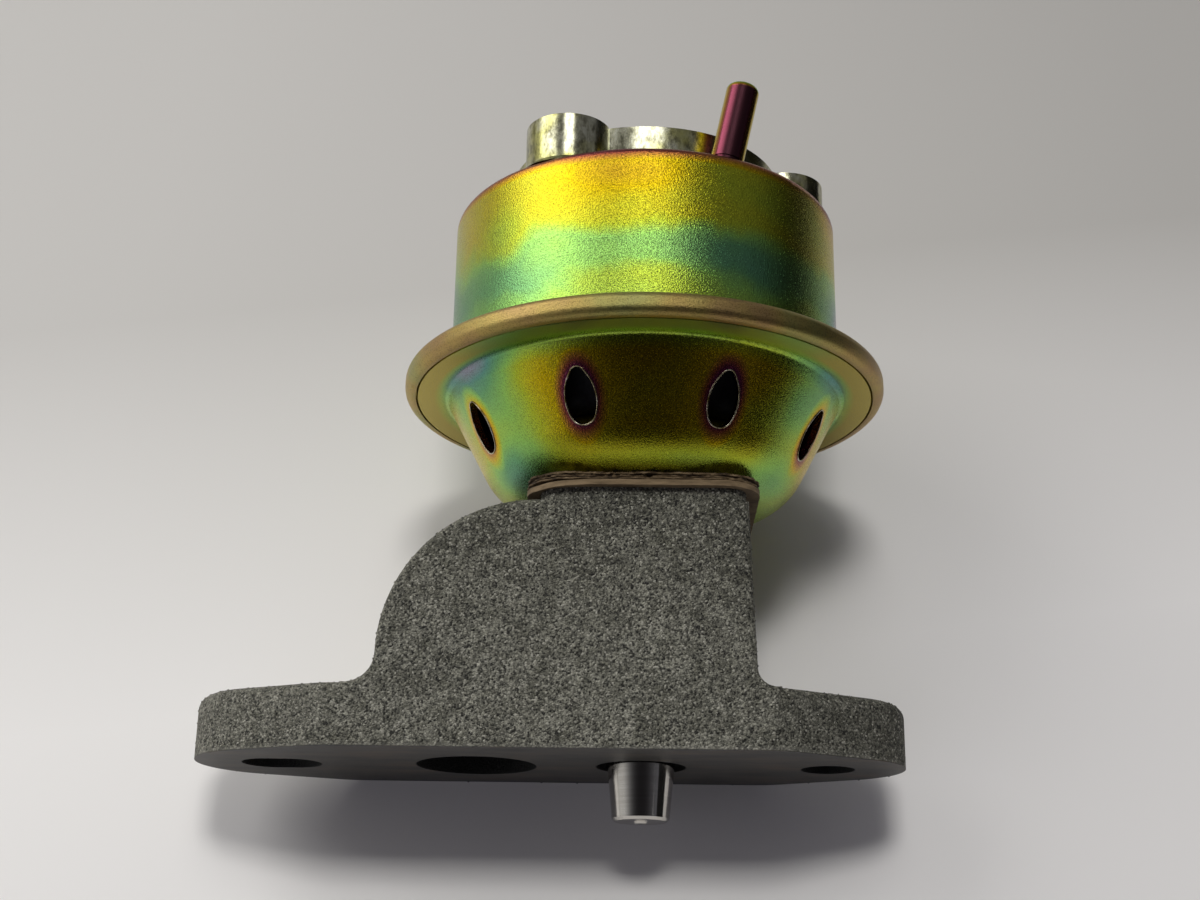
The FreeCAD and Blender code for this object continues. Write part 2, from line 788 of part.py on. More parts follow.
def make_seal_retainer():
    level = packing_floor + mm.packing_height
    outer = mm.packing_radius - mm.press_gap
    return turned_piece("seal_retainer", [
        (mm.retainer_bore, level),
        (outer, level),
        (outer, level + mm.retainer_sheet),
        (mm.retainer_bore + mm.stem_chamfer, level + mm.retainer_sheet),
        (mm.retainer_bore, level + mm.retainer_sheet - mm.stem_chamfer),
    ])


def make_gasket_ply(label, level):
    """One ply of the fibre gasket, which stands proud of the neck all round."""
    body = new_body(label)
    left = -mm.neck_left - mm.gasket_overhang
    right = mm.neck_right + mm.gasket_overhang
    side = half_width + mm.gasket_proud
    sketch = outline(body, f"{label}_outline", "XY_Plane", [
        (left, -side, mm.gasket_corner),
        (right, -side, mm.gasket_corner),
        (right, side, mm.gasket_corner),
        (left, side, mm.gasket_corner),
    ])
    pad(body, sketch, mm.gasket_ply)
    middle = circles(body, f"{label}_bore", "XY_Plane", [(0, 0, mm.gasket_bore)])
    pocket(body, middle, mm.gasket_ply, upwards=True)
    screw_holes(body, mm.screw_radius + mm.slip_gap, mm.gasket_ply, mm.gasket_ply)
    place(body, z=level)
    return body


def make_lower_shell():
    """The vented bowl: its flange steps up at the edge, so that the can's hem lies flush with it."""
    body = new_body("lower_shell")
    revolve(body, sheet_section(body, "lower_shell_section", [
        (mm.shell_bore, 0),
        (mm.shell_floor_radius, 0, mm.shell_bend),
        (crease_radius, mm.shell_depth, mm.shell_crease),
        (joggle_end - mm.joggle_run, mm.shell_depth),
        (joggle_end, joggle_rise),
        (clamped_radius, joggle_rise),
    ], mm.shell_sheet, 1))
    vent = outline(body, "vent", "YZ_Plane", [
        (0, -mm.vent_heel, mm.vent_heel_round),
        (mm.vent_side, mm.vent_waist, mm.vent_side_round),
        (0, mm.vent_tip, mm.vent_tip_round),
        (-mm.vent_side, mm.vent_waist, mm.vent_side_round),
    ])
    middle = mm.shell_floor_radius + mm.vent_height * shell_wall_run
    tilt = FreeCAD.Rotation(Vector(1, 0, 0), mm.shell_slope.value)
    vent.AttachmentOffset = FreeCAD.Placement(Vector(0, mm.vent_height.value, middle.value), tilt)
    vent.setExpression(".AttachmentOffset.Base.y", mm.vent_height.formula)
    vent.setExpression(".AttachmentOffset.Base.z", middle.formula)
    vent.setExpression(".AttachmentOffset.Rotation.Angle", mm.shell_slope.formula)
    around(body, pocket(body, vent, 4 * mm.shell_sheet, midplane=True), mm.vent_count)
    clear = mm.screw_radius + mm.slip_gap
    screw_holes(body, clear, mm.shell_sheet, mm.shell_sheet, mm.vent_phase)
    turn(body, Vector(0, 0, 1), mm.vent_phase)
    place(body, z=shell_seat)
    return body


def make_clamp_plate():
    body = turned_piece("clamp_plate", [
        (mm.shell_bore, 0),
        (clamp_radius, 0),
        (clamp_radius, mm.clamp_sheet, mm.clamp_edge),
        (mm.shell_bore, mm.clamp_sheet),
    ])
    screw_holes(body, mm.screw_radius + mm.slip_gap, mm.clamp_sheet, mm.clamp_sheet)
    place(body, z=shell_floor)
    return body


def make_shell_screws():
    """Slotted screws that hold the bowl to the neck, as a group of separate solids."""
    shank = mm.screw_radius.value - mm.press_gap.value
    head = mm.screw_head_radius.value
    height = mm.screw_head_height.value
    corners = [(0, -mm.screw_length.value), (shank, -mm.screw_length.value), (shank, 0), (head, 0),
               (head, height), (0, height)]
    section = Part.Face(Part.makePolygon([Vector(r, 0, z) for r, z in corners + corners[:1]]))
    screw = section.revolve(Vector(0, 0, 0), Vector(0, 0, 1), 360)
    top_edges = [edge for edge in screw.Edges if edge.BoundBox.ZMin > height - 1e-6]
    crown = max(top_edges, key=lambda edge: edge.Length)
    screw = screw.makeFillet(mm.screw_head_round.value, [crown])
    width, depth = mm.screw_slot_width.value, mm.screw_slot_depth.value
    notch = Part.makeBox(2 * head, width, depth, Vector(-head, -width / 2, height - depth))
    screw = screw.cut(notch)
    group = []
    for i in range(round(mm.screw_count.value)):
        copy = screw.copy()
        copy.translate(Vector(screw_circle.value, 0, 0))
        copy.rotate(Vector(0, 0, 0), Vector(0, 0, 1), 45 + 360 * i / mm.screw_count.value)
        group.append(copy)
    item = DOC.addObject("Part::Feature", "shell_screws")
    item.Label = "shell_screws"
    item.Shape = Part.makeCompound(group)
    place(item, z=clamp_top)
    return item


def make_diaphragm():
    body = pressed_piece("diaphragm", [
        (step_bore, 0),
        (diaphragm_flat, 0, mm.diaphragm_bend),
        (mm.diaphragm_shoulder, mm.diaphragm_drop, mm.plate_bend),
        (clamped_radius, mm.diaphragm_drop),
    ], mm.diaphragm_sheet, 1)
    place(body, z=diaphragm_under)
    return body


def make_lower_plate():
    body = pressed_piece("lower_plate", [
        (step_bore, 0),
        (mm.plate_radius, 0, mm.plate_bend),
        (mm.plate_radius, -mm.plate_lip),
    ], mm.plate_sheet, -1)
    place(body, z=diaphragm_under)
    return body


def make_spring_cup():
    """The upper plate: it backs the diaphragm's wall and takes the foot of the spring."""
    run = (mm.diaphragm_shoulder - diaphragm_flat) / mm.diaphragm_drop
    body = pressed_piece("spring_cup", [
        (step_bore, 0),
        (cup_foot, 0, mm.cup_bend),
        (cup_foot + mm.cup_rise * run, mm.cup_rise),
    ], mm.cup_sheet, 1)
    place(body, z=cup_under)
    return body


def make_stem_washer():
    body = turned_piece("stem_washer", [
        (step_bore, 0),
        (mm.washer_radius, 0),
        (mm.washer_radius, mm.washer_thick),
        (step_bore, mm.washer_thick),
    ])
    place(body, z=cup_floor)
    return body


def make_sensor_button():
    """The cap on the peened end, which the plunger of the lift sensor touches."""
    inner = mm.peen_radius + mm.slip_gap
    roof = mm.peen_height + mm.slip_gap
    body = turned_piece("sensor_button", [
        (inner, 0),
        (mm.button_radius, 0),
        (mm.button_radius, roof + mm.button_wall, mm.button_round),
        (0, roof + mm.button_wall),
        (0, roof),
        (inner, roof),
    ])
    place(body, z=washer_top)
    return body


def make_return_spring():
    """A compression spring whose ends are ground flat between the cup and its seat."""
    wire = mm.spring_wire.value
    length = spring_top.value - cup_floor.value
    pitch = length / mm.spring_turns.value
    helix = Part.makeHelix(pitch, length, mm.spring_radius.value)
    ring = Part.Circle(Vector(mm.spring_radius.value, 0, 0), Vector(0, 1, 0), wire)
    coil = Part.Wire(helix.Edges).makePipeShell([Part.Wire([ring.toShape()])], True, True)
    reach = mm.spring_radius.value + 2 * wire
    slab = Part.makeCylinder(reach, length)
    item = DOC.addObject("Part::Feature", "return_spring")
    item.Label = "return_spring"
    item.Shape = coil.common(slab)
    place(item, z=cup_floor)
    return item


def make_spring_seat():
    body = pressed_piece("spring_seat", [
        (spigot_bore, 0),
        (spring_seat_radius, 0, mm.spring_seat_bend),
        (spring_seat_radius, -mm.spring_seat_lip),
    ], mm.spring_seat_sheet, -1)
    place(body, z=roof_under)
    return body


def make_upper_can():
    """The vacuum can, its skirt rolled round the flange of the bowl into a closed hem."""
    body = new_body("upper_can")
    revolve(body, sheet_section(body, "upper_can_section", [
        (spigot_bore, can_top),
        (mm.can_radius, can_top, mm.can_roof_corner),
        (mm.can_radius, rim_top, mm.can_foot_corner),
        (mm.rim_radius, rim_top, mm.rim_corner),
        (mm.rim_radius, flange_under - mm.can_sheet, mm.rim_corner),
        (mm.rim_radius - mm.hem_reach, flange_under - mm.can_sheet),
    ], mm.can_sheet, -1))
    hole = circles(body, "nipple_hole", "XY_Plane", [(nipple_x, nipple_y, collar_bore)], can_top)
    pocket(body, hole, mm.can_sheet)
    return body


def make_sensor_base():
    """The seat of the lift sensor: a disc with three tapped bosses, staked through the roof."""
    body = new_body("sensor_base")
    lip_top = -mm.can_sheet - mm.spring_seat_sheet
    revolve(body, outline(body, "base_section", "XZ_Plane", [
        (mm.sensor_bore, lip_top - mm.spring_seat_sheet),
        (mm.spigot_radius + mm.spigot_lip, lip_top - mm.spring_seat_sheet),
        (mm.spigot_radius + mm.spigot_lip, lip_top),
        (mm.spigot_radius, lip_top),
        (mm.spigot_radius, 0),
        (mm.seal_inner, 0),
        (mm.seal_inner, mm.seal_depth),
        (mm.seal_inner + mm.seal_width, mm.seal_depth),
        (mm.seal_inner + mm.seal_width, 0),
        (base_radius + mm.base_foot, 0),
        (base_radius, mm.base_foot),
        (base_radius, mm.base_height),
        (mm.sensor_bore + mm.sensor_lead_in, mm.base_height),
        (mm.sensor_bore, mm.base_height - mm.sensor_lead_in),
    ]))
    boss = circles(body, "boss", "XY_Plane", [(mm.boss_circle, 0, mm.boss_radius)])
    around(body, pad(body, boss, mm.base_height), mm.boss_count)
    flare = circles(body, "boss_foot", "XY_Plane", [(mm.boss_circle, 0, mm.boss_radius + mm.base_foot)])
    around(body, pad(body, flare, mm.base_foot, taper=-45), mm.boss_count)
    hole = circles(body, "boss_hole", "XY_Plane", [(mm.boss_circle, 0, mm.boss_hole_radius)], mm.base_height)
    around(body, pocket(body, hole, mm.boss_hole_depth), mm.boss_count)
    turn(body, Vector(0, 0, 1), mm.boss_phase)
    place(body, z=can_top)
    return body


def make_base_seal():
    inner = mm.seal_inner + mm.slip_gap
    outer = mm.seal_inner + mm.seal_width - mm.slip_gap
    body = turned_piece("base_seal", [
        (inner, 0),
        (outer, 0),
        (outer, mm.seal_depth),
        (inner, mm.seal_depth),
    ])
    place(body, z=can_top)
    return body


def make_vacuum_nipple():
    """A short tube with a rounded mouth and a turned-down tail, brazed in the roof at a slant."""
    body = turned_piece("vacuum_nipple", [
        (mm.nipple_bore, -mm.nipple_tail),
        (nipple_tail_radius, -mm.nipple_tail),
        (nipple_tail_radius, mm.nipple_step),
        (mm.nipple_radius, mm.nipple_step),
        (mm.nipple_radius, mm.nipple_length, mm.nipple_round),
        (mm.nipple_bore, mm.nipple_length),
    ])
    turn(body, Vector(0, 1, 0), mm.nipple_tilt)
    place(body, nipple_x, nipple_y, can_top)
    return body


def make_nipple_collar():
    body = turned_piece("nipple_collar", [
        (collar_bore, 0),
        (mm.collar_radius, 0),
        (collar_bore + mm.press_gap, mm.collar_height),
        (collar_bore, mm.collar_height),
    ])
    place(body, nipple_x, nipple_y, can_top)
    return body


def make_pieces():
    """Every separate piece of the valve, from the mounting face upwards."""
    return [
        make_valve_body(),
        make_seat_ring(),
        make_valve_pintle(),
        make_valve_stem(),
        make_stem_bushing(),
        make_heat_shield(),
        make_stem_seal(),
        make_seal_retainer(),
        make_gasket_ply("base_gasket_lower", neck_height),
        make_gasket_ply("base_gasket_upper", neck_height + mm.gasket_ply),
        make_lower_shell(),
        make_clamp_plate(),
        make_shell_screws(),
        make_lower_plate(),
        make_diaphragm(),
        make_spring_cup(),
        make_stem_washer(),
        make_sensor_button(),
        make_return_spring(),
        make_spring_seat(),
        make_upper_can(),
        make_sensor_base(),
        make_base_seal(),
        make_vacuum_nipple(),
        make_nipple_collar(),
    ]


def check(pieces):
    """Stops on any object that failed to compute and on any piece that isn't sound."""
    for item in DOC.Objects:
        if "Invalid" in item.State or "Error" in item.State:
            raise RuntimeError(f"{item.Name} failed: {item.State}")
    for piece in pieces:
        if piece.Shape.isNull() or not piece.Shape.isValid() or not piece.Shape.Solids:
            raise RuntimeError(f"{piece.Label} has no sound shape")


def write(pieces):
    os.makedirs("parts", exist_ok=True)
    for piece in pieces:
        piece.Shape.exportStep(os.path.join("parts", f"{piece.Label}.step"))
        box = piece.Shape.BoundBox
        print(f"{piece.Label}: {len(piece.Shape.Solids)} solid, {piece.Shape.Volume:.1f} mm3, "
              f"z {box.ZMin:.2f} to {box.ZMax:.2f}")


PIECES = make_pieces()
DOC.recompute()
check(PIECES)
write(PIECES)
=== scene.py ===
# %% [markdown]
# This lesson dresses a CAD model of a vacuum-operated exhaust gas recirculation valve.
# The CAD parts are already the right size and in the right place. What is left for Blender is how
# they look: bare sand-cast iron, zinc with its yellow chromate film, turned steel, a fibre gasket
# that has begun to come apart, and the light that shows them. Lengths are in metres throughout.

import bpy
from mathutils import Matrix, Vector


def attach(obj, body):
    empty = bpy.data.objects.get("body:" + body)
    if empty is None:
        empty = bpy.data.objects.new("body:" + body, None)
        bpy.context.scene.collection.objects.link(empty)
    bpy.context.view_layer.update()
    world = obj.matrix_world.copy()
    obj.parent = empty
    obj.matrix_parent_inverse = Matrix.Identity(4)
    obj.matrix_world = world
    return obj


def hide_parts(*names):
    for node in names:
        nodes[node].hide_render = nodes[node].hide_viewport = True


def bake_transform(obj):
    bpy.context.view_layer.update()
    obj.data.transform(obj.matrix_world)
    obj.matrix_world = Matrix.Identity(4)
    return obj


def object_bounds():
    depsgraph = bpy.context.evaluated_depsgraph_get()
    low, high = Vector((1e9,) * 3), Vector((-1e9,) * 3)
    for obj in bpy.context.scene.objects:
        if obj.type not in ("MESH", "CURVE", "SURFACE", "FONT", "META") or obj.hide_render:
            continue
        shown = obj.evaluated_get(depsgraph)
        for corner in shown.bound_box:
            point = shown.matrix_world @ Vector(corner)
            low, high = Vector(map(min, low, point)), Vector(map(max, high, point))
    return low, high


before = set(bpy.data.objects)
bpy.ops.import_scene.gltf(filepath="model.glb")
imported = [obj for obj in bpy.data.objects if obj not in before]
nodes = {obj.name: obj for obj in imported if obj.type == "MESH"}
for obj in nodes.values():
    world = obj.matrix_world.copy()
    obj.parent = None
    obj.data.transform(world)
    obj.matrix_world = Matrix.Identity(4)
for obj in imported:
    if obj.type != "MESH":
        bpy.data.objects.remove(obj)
cad_low, cad_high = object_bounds()
print("CAD box, mm:", [round(1000 * v, 1) for v in (*cad_low, *cad_high)])

# %% [markdown]
# A few helpers serve the whole lesson. Blender's colour sockets take linear light, so one function
# turns the hex colours that a screen shows into it. One sets or links the inputs of a node, and one
# adds a node of any kind with its settings.

# %% Helpers
import math
import random

import bmesh
import bpy
from mathutils import Matrix, Vector, noise
from mathutils.bvhtree import BVHTree

MM = 0.001


def colour(hex_code):
    """The linear colour of an sRGB hex value."""
    parts = [int(hex_code[i:i + 2], 16) / 255 for i in (1, 3, 5)]
    return (*[c / 12.92 if c <= 0.04045 else ((c + 0.055) / 1.055) ** 2.4 for c in parts], 1.0)


def join(tree, made, inputs):
    """Sets or links inputs of a node, each given by its number or its name."""
    sockets = [socket for socket in made.inputs if socket.enabled]
    for name, value in inputs.items():
        by_number = isinstance(name, int)
        socket = sockets[name] if by_number else next(s for s in sockets if s.name == name)
        if isinstance(value, bpy.types.Node):
            value = next(output for output in value.outputs if output.enabled)
        if isinstance(value, bpy.types.NodeSocket):
            tree.links.new(value, socket)
        else:
            socket.default_value = colour(value) if isinstance(value, str) else value


def node(tree, kind, inputs=(), stops=(), **settings):
    """Adds a node, with its settings, its colour stops, and its inputs set or linked."""
    made = tree.nodes.new(kind)
    for name, value in settings.items():
        setattr(made, name, value)
    if stops:
        marks = made.color_ramp.elements
        marks.remove(marks[-1])
        marks[0].position, marks[0].color = stops[0][0], colour(stops[0][1])
        for place, shade in stops[1:]:
            marks.new(place).color = colour(shade)
    join(tree, made, dict(inputs))
    return made


def new_finish(name):
    """An empty material, its node tree, its shader and the object's own coordinates."""
    finish = bpy.data.materials.new(name)
    finish.use_nodes = True
    tree = finish.node_tree
    place = node(tree, "ShaderNodeTexCoord").outputs["Object"]
    return finish, tree, tree.nodes["Principled BSDF"], place


print("helpers ready")

# %% [markdown]
# The short helpers below name what the materials do over and over: noise of a given grain, a sum, a
# value that runs between two others, a ramp of colours, a mix of two, a bump.

# %% Short helpers for shaders
SMOOTH = "SMOOTHSTEP"


def speckle(tree, place, size, detail=2.0, roughness=0.5):
    """Noise whose lumps are about as wide as size."""
    return node(tree, "ShaderNodeTexNoise", {
        "Vector": place, "Scale": 1 / size, "Detail": detail, "Roughness": roughness})


def calc(tree, operation, *values):
    """Arithmetic on numbers."""
    return node(tree, "ShaderNodeMath", dict(enumerate(values)), operation=operation)


def vector(tree, operation, *values):
    """Arithmetic on vectors, which may come out as a number."""
    made = node(tree, "ShaderNodeVectorMath", dict(enumerate(values)), operation=operation)
    to_number = operation in ("DOT_PRODUCT", "DISTANCE", "LENGTH")
    return made.outputs["Value" if to_number else "Vector"]


def axis_of(tree, place, axis):
    """The X, Y or Z of a place."""
    return node(tree, "ShaderNodeSeparateXYZ", {0: place}).outputs[axis]


def span(tree, value, start, end, low=0.0, high=1.0, ease="LINEAR"):
    """Goes from low to high as value goes from start to end, and holds still outside them."""
    return node(tree, "ShaderNodeMapRange", {0: value, 1: start, 2: end, 3: low, 4: high},
                interpolation_type=ease)


def ramp(tree, value, *stops):
    """A ramp of colours."""
    return node(tree, "ShaderNodeValToRGB", {0: value}, stops=stops)


def mix(tree, factor, a, b, blend="MIX", kind="RGBA"):
    """A mix of two colours, or of two numbers."""
    return node(tree, "ShaderNodeMix", {"Factor": factor, "A": a, "B": b},
                data_type=kind, blend_type=blend)


def bump(tree, height, strength, distance):
    """A small relief that the light sees."""
    return node(tree, "ShaderNodeBump", {
        "Strength": strength, "Distance": distance, "Height": height})


print("shader helpers ready")

# %% [markdown]
# The camera comes first, because every later choice is judged through it. It stands where the
# photograph was taken from: in front of the valve, a little below the flange, looking up along the
# stem. Its axes were solved from points that the photograph and the drawing share, so they are
# written as a matrix instead of angles.

# %% Camera
CAMERA_PLACE = Vector((-1.7125, -275.913, -40.394)) * MM
CAMERA_AHEAD = Vector((-0.019776, 0.945404, 0.325300))
CAMERA_UP = Vector((-0.009124, -0.325521, 0.945491))
CAMERA_RIGHT = Vector((0.999763, 0.015730, 0.015063))

camera = bpy.data.objects.new("camera", bpy.data.cameras.new("camera"))
camera.data.lens = 50.55
camera.data.sensor_width = 36.0
camera.data.clip_start = 0.01
axes = Matrix((CAMERA_RIGHT, CAMERA_UP, -CAMERA_AHEAD)).transposed()
camera.matrix_world = Matrix.Translation(CAMERA_PLACE) @ axes.to_4x4()
bpy.context.collection.objects.link(camera)
bpy.context.scene.camera = camera
print("camera to stem, mm:", round(1000 * CAMERA_PLACE.length))

# %% [markdown]
# The valve lies on its back. The table touches the back of the flange and the back of the rim, so
# those two give its plane. The frame keeps the valve upright, and so the table is the thing that
# tilts. Its colour is painted with a slow falloff of light: pale at its near edge, darker towards
# its far edge and most at the far right. Seen from behind it lets the view through, so that the
# valve can be looked at from every side.

# %% Table
FLANGE_BACK = Vector((0, 19.15, 0)) * MM
RIM_BACK = Vector((0, 41.5, 64.4)) * MM
TABLE_HALF = 1.6
SHADE_LEFT, SHADE_RIGHT = -0.11, 0.12
SHADE_LOW, SHADE_HIGH = 0.03, 0.13
SHADE_LEAN = 0.15


def flat_piece(name, corners, finish):
    """One four-sided face with a finish, such as the table or a card."""
    sheet = bpy.data.meshes.new(name)
    sheet.from_pydata(corners, [], [(0, 1, 2, 3)])
    sheet.materials.append(finish)
    piece = bpy.data.objects.new(name, sheet)
    bpy.context.collection.objects.link(piece)
    return piece


table_up = (RIM_BACK - FLANGE_BACK).normalized()
table_side = Vector((1, 0, 0))
table_normal = table_side.cross(table_up)

laminate, tree, shader, place = new_finish("pale laminate table top")
across = vector(tree, "DOT_PRODUCT", place, (1.0, 0.0, 0.0))
along = vector(tree, "DOT_PRODUCT", place, tuple(table_up - SHADE_LEAN * table_side))
right = span(tree, across, SHADE_LEFT, SHADE_RIGHT)
top = span(tree, along, SHADE_LOW, SHADE_HIGH)
# Painted light falloff: pale at the near edge, darker at the far edge and most at the far right.
low_edge = mix(tree, right, "#F0EDE8", "#ECE9E5")
high_edge = mix(tree, right, "#C9C6C0", "#B9B6B0")
join(tree, shader, {"Base Color": mix(tree, top, low_edge, high_edge), "Roughness": 0.55})
behind = node(tree, "ShaderNodeNewGeometry").outputs["Backfacing"]
clear = node(tree, "ShaderNodeBsdfTransparent")
seen = node(tree, "ShaderNodeMixShader", {0: behind, 1: shader, 2: clear})
join(tree, tree.nodes["Material Output"], {"Surface": seen})

corners = [(-1, -1), (1, -1), (1, 1), (-1, 1)]
table = flat_piece("table", [
    FLANGE_BACK + TABLE_HALF * (u * table_side + v * table_up) for u, v in corners], laminate)
print("table normal:", [round(v, 3) for v in table_normal])

# %% [markdown]
# Metal shows what stands around it, so the room matters as much as the lamps. It is a ramp of
# greys, lightest at the left and dimmest round the camera. A black card, which only reflections
# see, keeps the far right edge of the metal dark.

# %% Room
world = bpy.data.worlds.new("dim room")
world.use_nodes = True
bpy.context.scene.world = world
tree = world.node_tree
ahead = node(tree, "ShaderNodeTexCoord").outputs["Generated"]
toward_window = vector(tree, "DOT_PRODUCT", ahead, (-0.95, 0.05, 0.30))
toward_camera = vector(tree, "DOT_PRODUCT", ahead, (0.02, -0.86, -0.50))
lit = ramp(tree, span(tree, toward_window, -1.0, 1.0), (0.0, "#56565C"), (0.20, "#707076"),
           (0.50, "#77777D"), (0.75, "#96969A"), (1.0, "#CFCECC"))
dark = span(tree, toward_camera, 0.32, 0.92, ease=SMOOTH)
join(tree, tree.nodes["Background"], {"Color": mix(tree, dark, lit, "#1E1D1F"), "Strength": 1.0})

velvet, tree, shader, place = new_finish("black velvet card")
join(tree, shader, {"Base Color": "#0B0B0B", "Roughness": 1.0})
card = flat_piece("black card", [
    (0.15, 0.04, -0.10), (0.15, 0.14, 0.22), (0.21, -0.06, 0.25), (0.21, -0.12, -0.10)], velvet)
for unseen in ("visible_camera", "visible_diffuse", "visible_shadow"):
    setattr(card, unseen, False)
print("room:", world.name, "with a", velvet.name)

# %% [markdown]
# Two wide panels, one at the left and one above the camera, give the can its two broad soft
# stripes. They are big and no brighter than a lit wall, so the film keeps its colour inside the
# stripes. A small low window at the left and a thin strip at the right each give the metal one dim
# line. Two lamps that the metal doesn't mirror do the rest: the key draws the shadows on the table,
# and the fill softens them.

# %% Lamps
VALVE_MIDDLE = Vector((0, 0, 0.05))


def soft_box(name, toward, distance, width, height, power, tint="#FFFFFF", mirrored=True):
    """A plain rectangular lamp that looks at the middle of the valve; the metal may mirror it."""
    lamp = bpy.data.lights.new(name, "AREA")
    lamp.shape = "RECTANGLE"
    lamp.size, lamp.size_y = width, height
    lamp.energy = power
    lamp.color = colour(tint)[:3]
    holder = bpy.data.objects.new(name, lamp)
    away = Vector(toward).normalized()
    side = Vector((0, 0, 1)).cross(away).normalized()
    turn = Matrix((side, away.cross(side), away)).transposed().to_4x4()
    holder.matrix_world = Matrix.Translation(VALVE_MIDDLE + distance * away) @ turn
    holder.visible_camera = False
    holder.visible_glossy = mirrored
    bpy.context.collection.objects.link(holder)


soft_box("left panel", (-0.64, -0.44, 0.50), 0.70, 0.52, 0.42, 1.6)
soft_box("high panel", (0.03, -0.88, 0.47), 0.80, 0.28, 0.32, 1.0)
soft_box("low window", (-0.86, -0.36, -0.26), 0.70, 0.04, 0.13, 0.055)
soft_box("right strip", (0.70, -0.62, -0.22), 0.80, 0.02, 0.16, 0.012)
soft_box("key", (0.02, -0.935, 0.385), 0.80, 0.16, 0.14, 2.1, mirrored=False)
soft_box("fill", (-0.35, -0.80, -0.45), 0.90, 0.80, 0.60, 0.70, "#E8E6FF", mirrored=False)

# %% [markdown]
# The body is grey iron, poured in a sand mould and left as cast. The sand prints its grain on the
# skin: pits and crumbs a third of a millimetre wide. Some crumbs are painted nearly black as shade
# in the pits, and others are painted as bright specks, as highlights where a crumb catches the
# light.
# Its right end and its neck are painted darker, as shade. Only the mounting face is machined: flat,
# smoother, with brown stains drawn out along it, and its edge is worn lighter. The gas inlet and
# the valve port are black with soot, and the bolt holes and the slot are painted black as shade
# inside them. One material covers all of it, and the place on the part tells it which skin it is
# looking at.

# %% Cast iron
SAND = 0.42 * MM
CRUMB = 0.30 * MM
HOLES = [(-26.8, 9.85), (0.0, 7.4), (30.3, 4.45), (-60.3, 4.9), (-58.6, 4.9), (-56.9, 4.9)]
DARK_HOLES_TOP = 20 * MM

cast_iron, tree, shader, place = new_finish("sand-cast grey iron, mounting face machined")
sideways, height = axis_of(tree, place, "X"), axis_of(tree, place, "Z")
lumps = speckle(tree, place, 2.2 * MM, 3.0)
sand = speckle(tree, place, SAND, 4.0, 0.75)
crumbs = node(tree, "ShaderNodeTexVoronoi", {"Vector": place, "Scale": 1 / CRUMB}, feature="F1")
speck = node(tree, "ShaderNodeSeparateColor", {0: crumbs.outputs["Color"]}).outputs[0]
skin = ramp(tree, sand, (0.32, "#2F2E2A"), (0.44, "#6A695F"), (0.55, "#959385"), (0.68, "#C2C0AF"))
mottle = ramp(tree, lumps, (0.32, "#BEBEBA"), (0.68, "#FFFFFF"))
skin = mix(tree, 1.0, skin, mottle, "MULTIPLY")
# Painted shade: the skin darkens towards the right end and up the neck.
for measure, start, end, shade in ((sideways, 6, 46, "#BCBCBA"), (height, 16, 42, "#D6D6D3")):
    skin = mix(tree, span(tree, measure, start * MM, end * MM), skin, shade, "MULTIPLY")
# Painted shade: a share of the crumbs is painted nearly black, as pits in shade.
skin = mix(tree, span(tree, speck, 0.24, 0.06, high=0.85), skin, "#1C1C1A")
# Painted highlights: another share of the crumbs is painted as bright glinting specks.
skin = mix(tree, span(tree, speck, 0.88, 1.0, high=0.8), skin, "#B7B4A6")
worn_edge = span(tree, height, 0.9 * MM, 0.3 * MM, high=0.55)
skin = mix(tree, calc(tree, "MULTIPLY", worn_edge, lumps), skin, "#8F8D82")

drawn = node(tree, "ShaderNodeMapping", {"Vector": place, "Scale": (0.25, 1.0, 1.0)})
machined = ramp(tree, speckle(tree, drawn, 4 * MM, 6.0, 0.65), (0.32, "#2E2E2C"),
                (0.50, "#413F3B"), (0.62, "#4E463D"), (0.75, "#5B4F42"))
on_face = span(tree, height, 0.25 * MM, 0.05 * MM)
look = mix(tree, on_face, skin, machined)

flat = vector(tree, "MULTIPLY", place, (1.0, 1.0, 0.0))
# Soot in the gas inlet and the valve port; in the bolt holes and the slot the black is painted
# shade.
soot_and_hole_shade = 0.0
for x, radius in HOLES:
    away = vector(tree, "DISTANCE", flat, (x * MM, 0.0, 0.0))
    soot_and_hole_shade = calc(tree, "MAXIMUM", soot_and_hole_shade, calc(tree, "LESS_THAN", away, radius * MM))
soot_and_hole_shade = calc(tree, "MULTIPLY", soot_and_hole_shade, calc(tree, "LESS_THAN", height, DARK_HOLES_TOP))
crumb_height = calc(tree, "SUBTRACT", sand, crumbs.outputs["Distance"])
relief = span(tree, on_face, 0.0, 1.0, 1.0, 0.06)
join(tree, shader, {
    "Base Color": mix(tree, soot_and_hole_shade, look, "#10110F"),
    "Roughness": span(tree, on_face, 0.0, 1.0, 0.78, 0.52),
    "Metallic": 0.15,
    "Normal": bump(tree, crumb_height, relief, 0.24 * MM)})
print("grain of the casting, mm:", round(1000 * SAND, 2))

# %% [markdown]
# The pressed parts are steel, zinc plated and dipped in a yellow chromate bath. The film that the
# bath leaves is about as thin as a wavelength of light, so its colour depends on its thickness:
# magenta, copper, gold, lime, green, teal and lilac follow each other in that order. Painting
# each colour by hand would miss that order. Here one colour ramp holds it, and each part only says
# how thick its film is from place to place. Where the film is rubbed, or where a part paints a dark
# reflection, another colour takes over, a dull brown unless the part names another, and a part may
# say where that is too.

# %% Chromate film
FILM = [(0.00, "#74304F"), (0.09, "#A0563F"), (0.19, "#BF8A35"), (0.32, "#D4B616"),
        (0.45, "#B4C238"), (0.57, "#93C460"), (0.69, "#6CA470"), (0.79, "#5F9488"),
        (0.89, "#878A98"), (1.00, "#A98A92")]
GRAIN = 0.24 * MM
POOL_SQUASH = 1.6


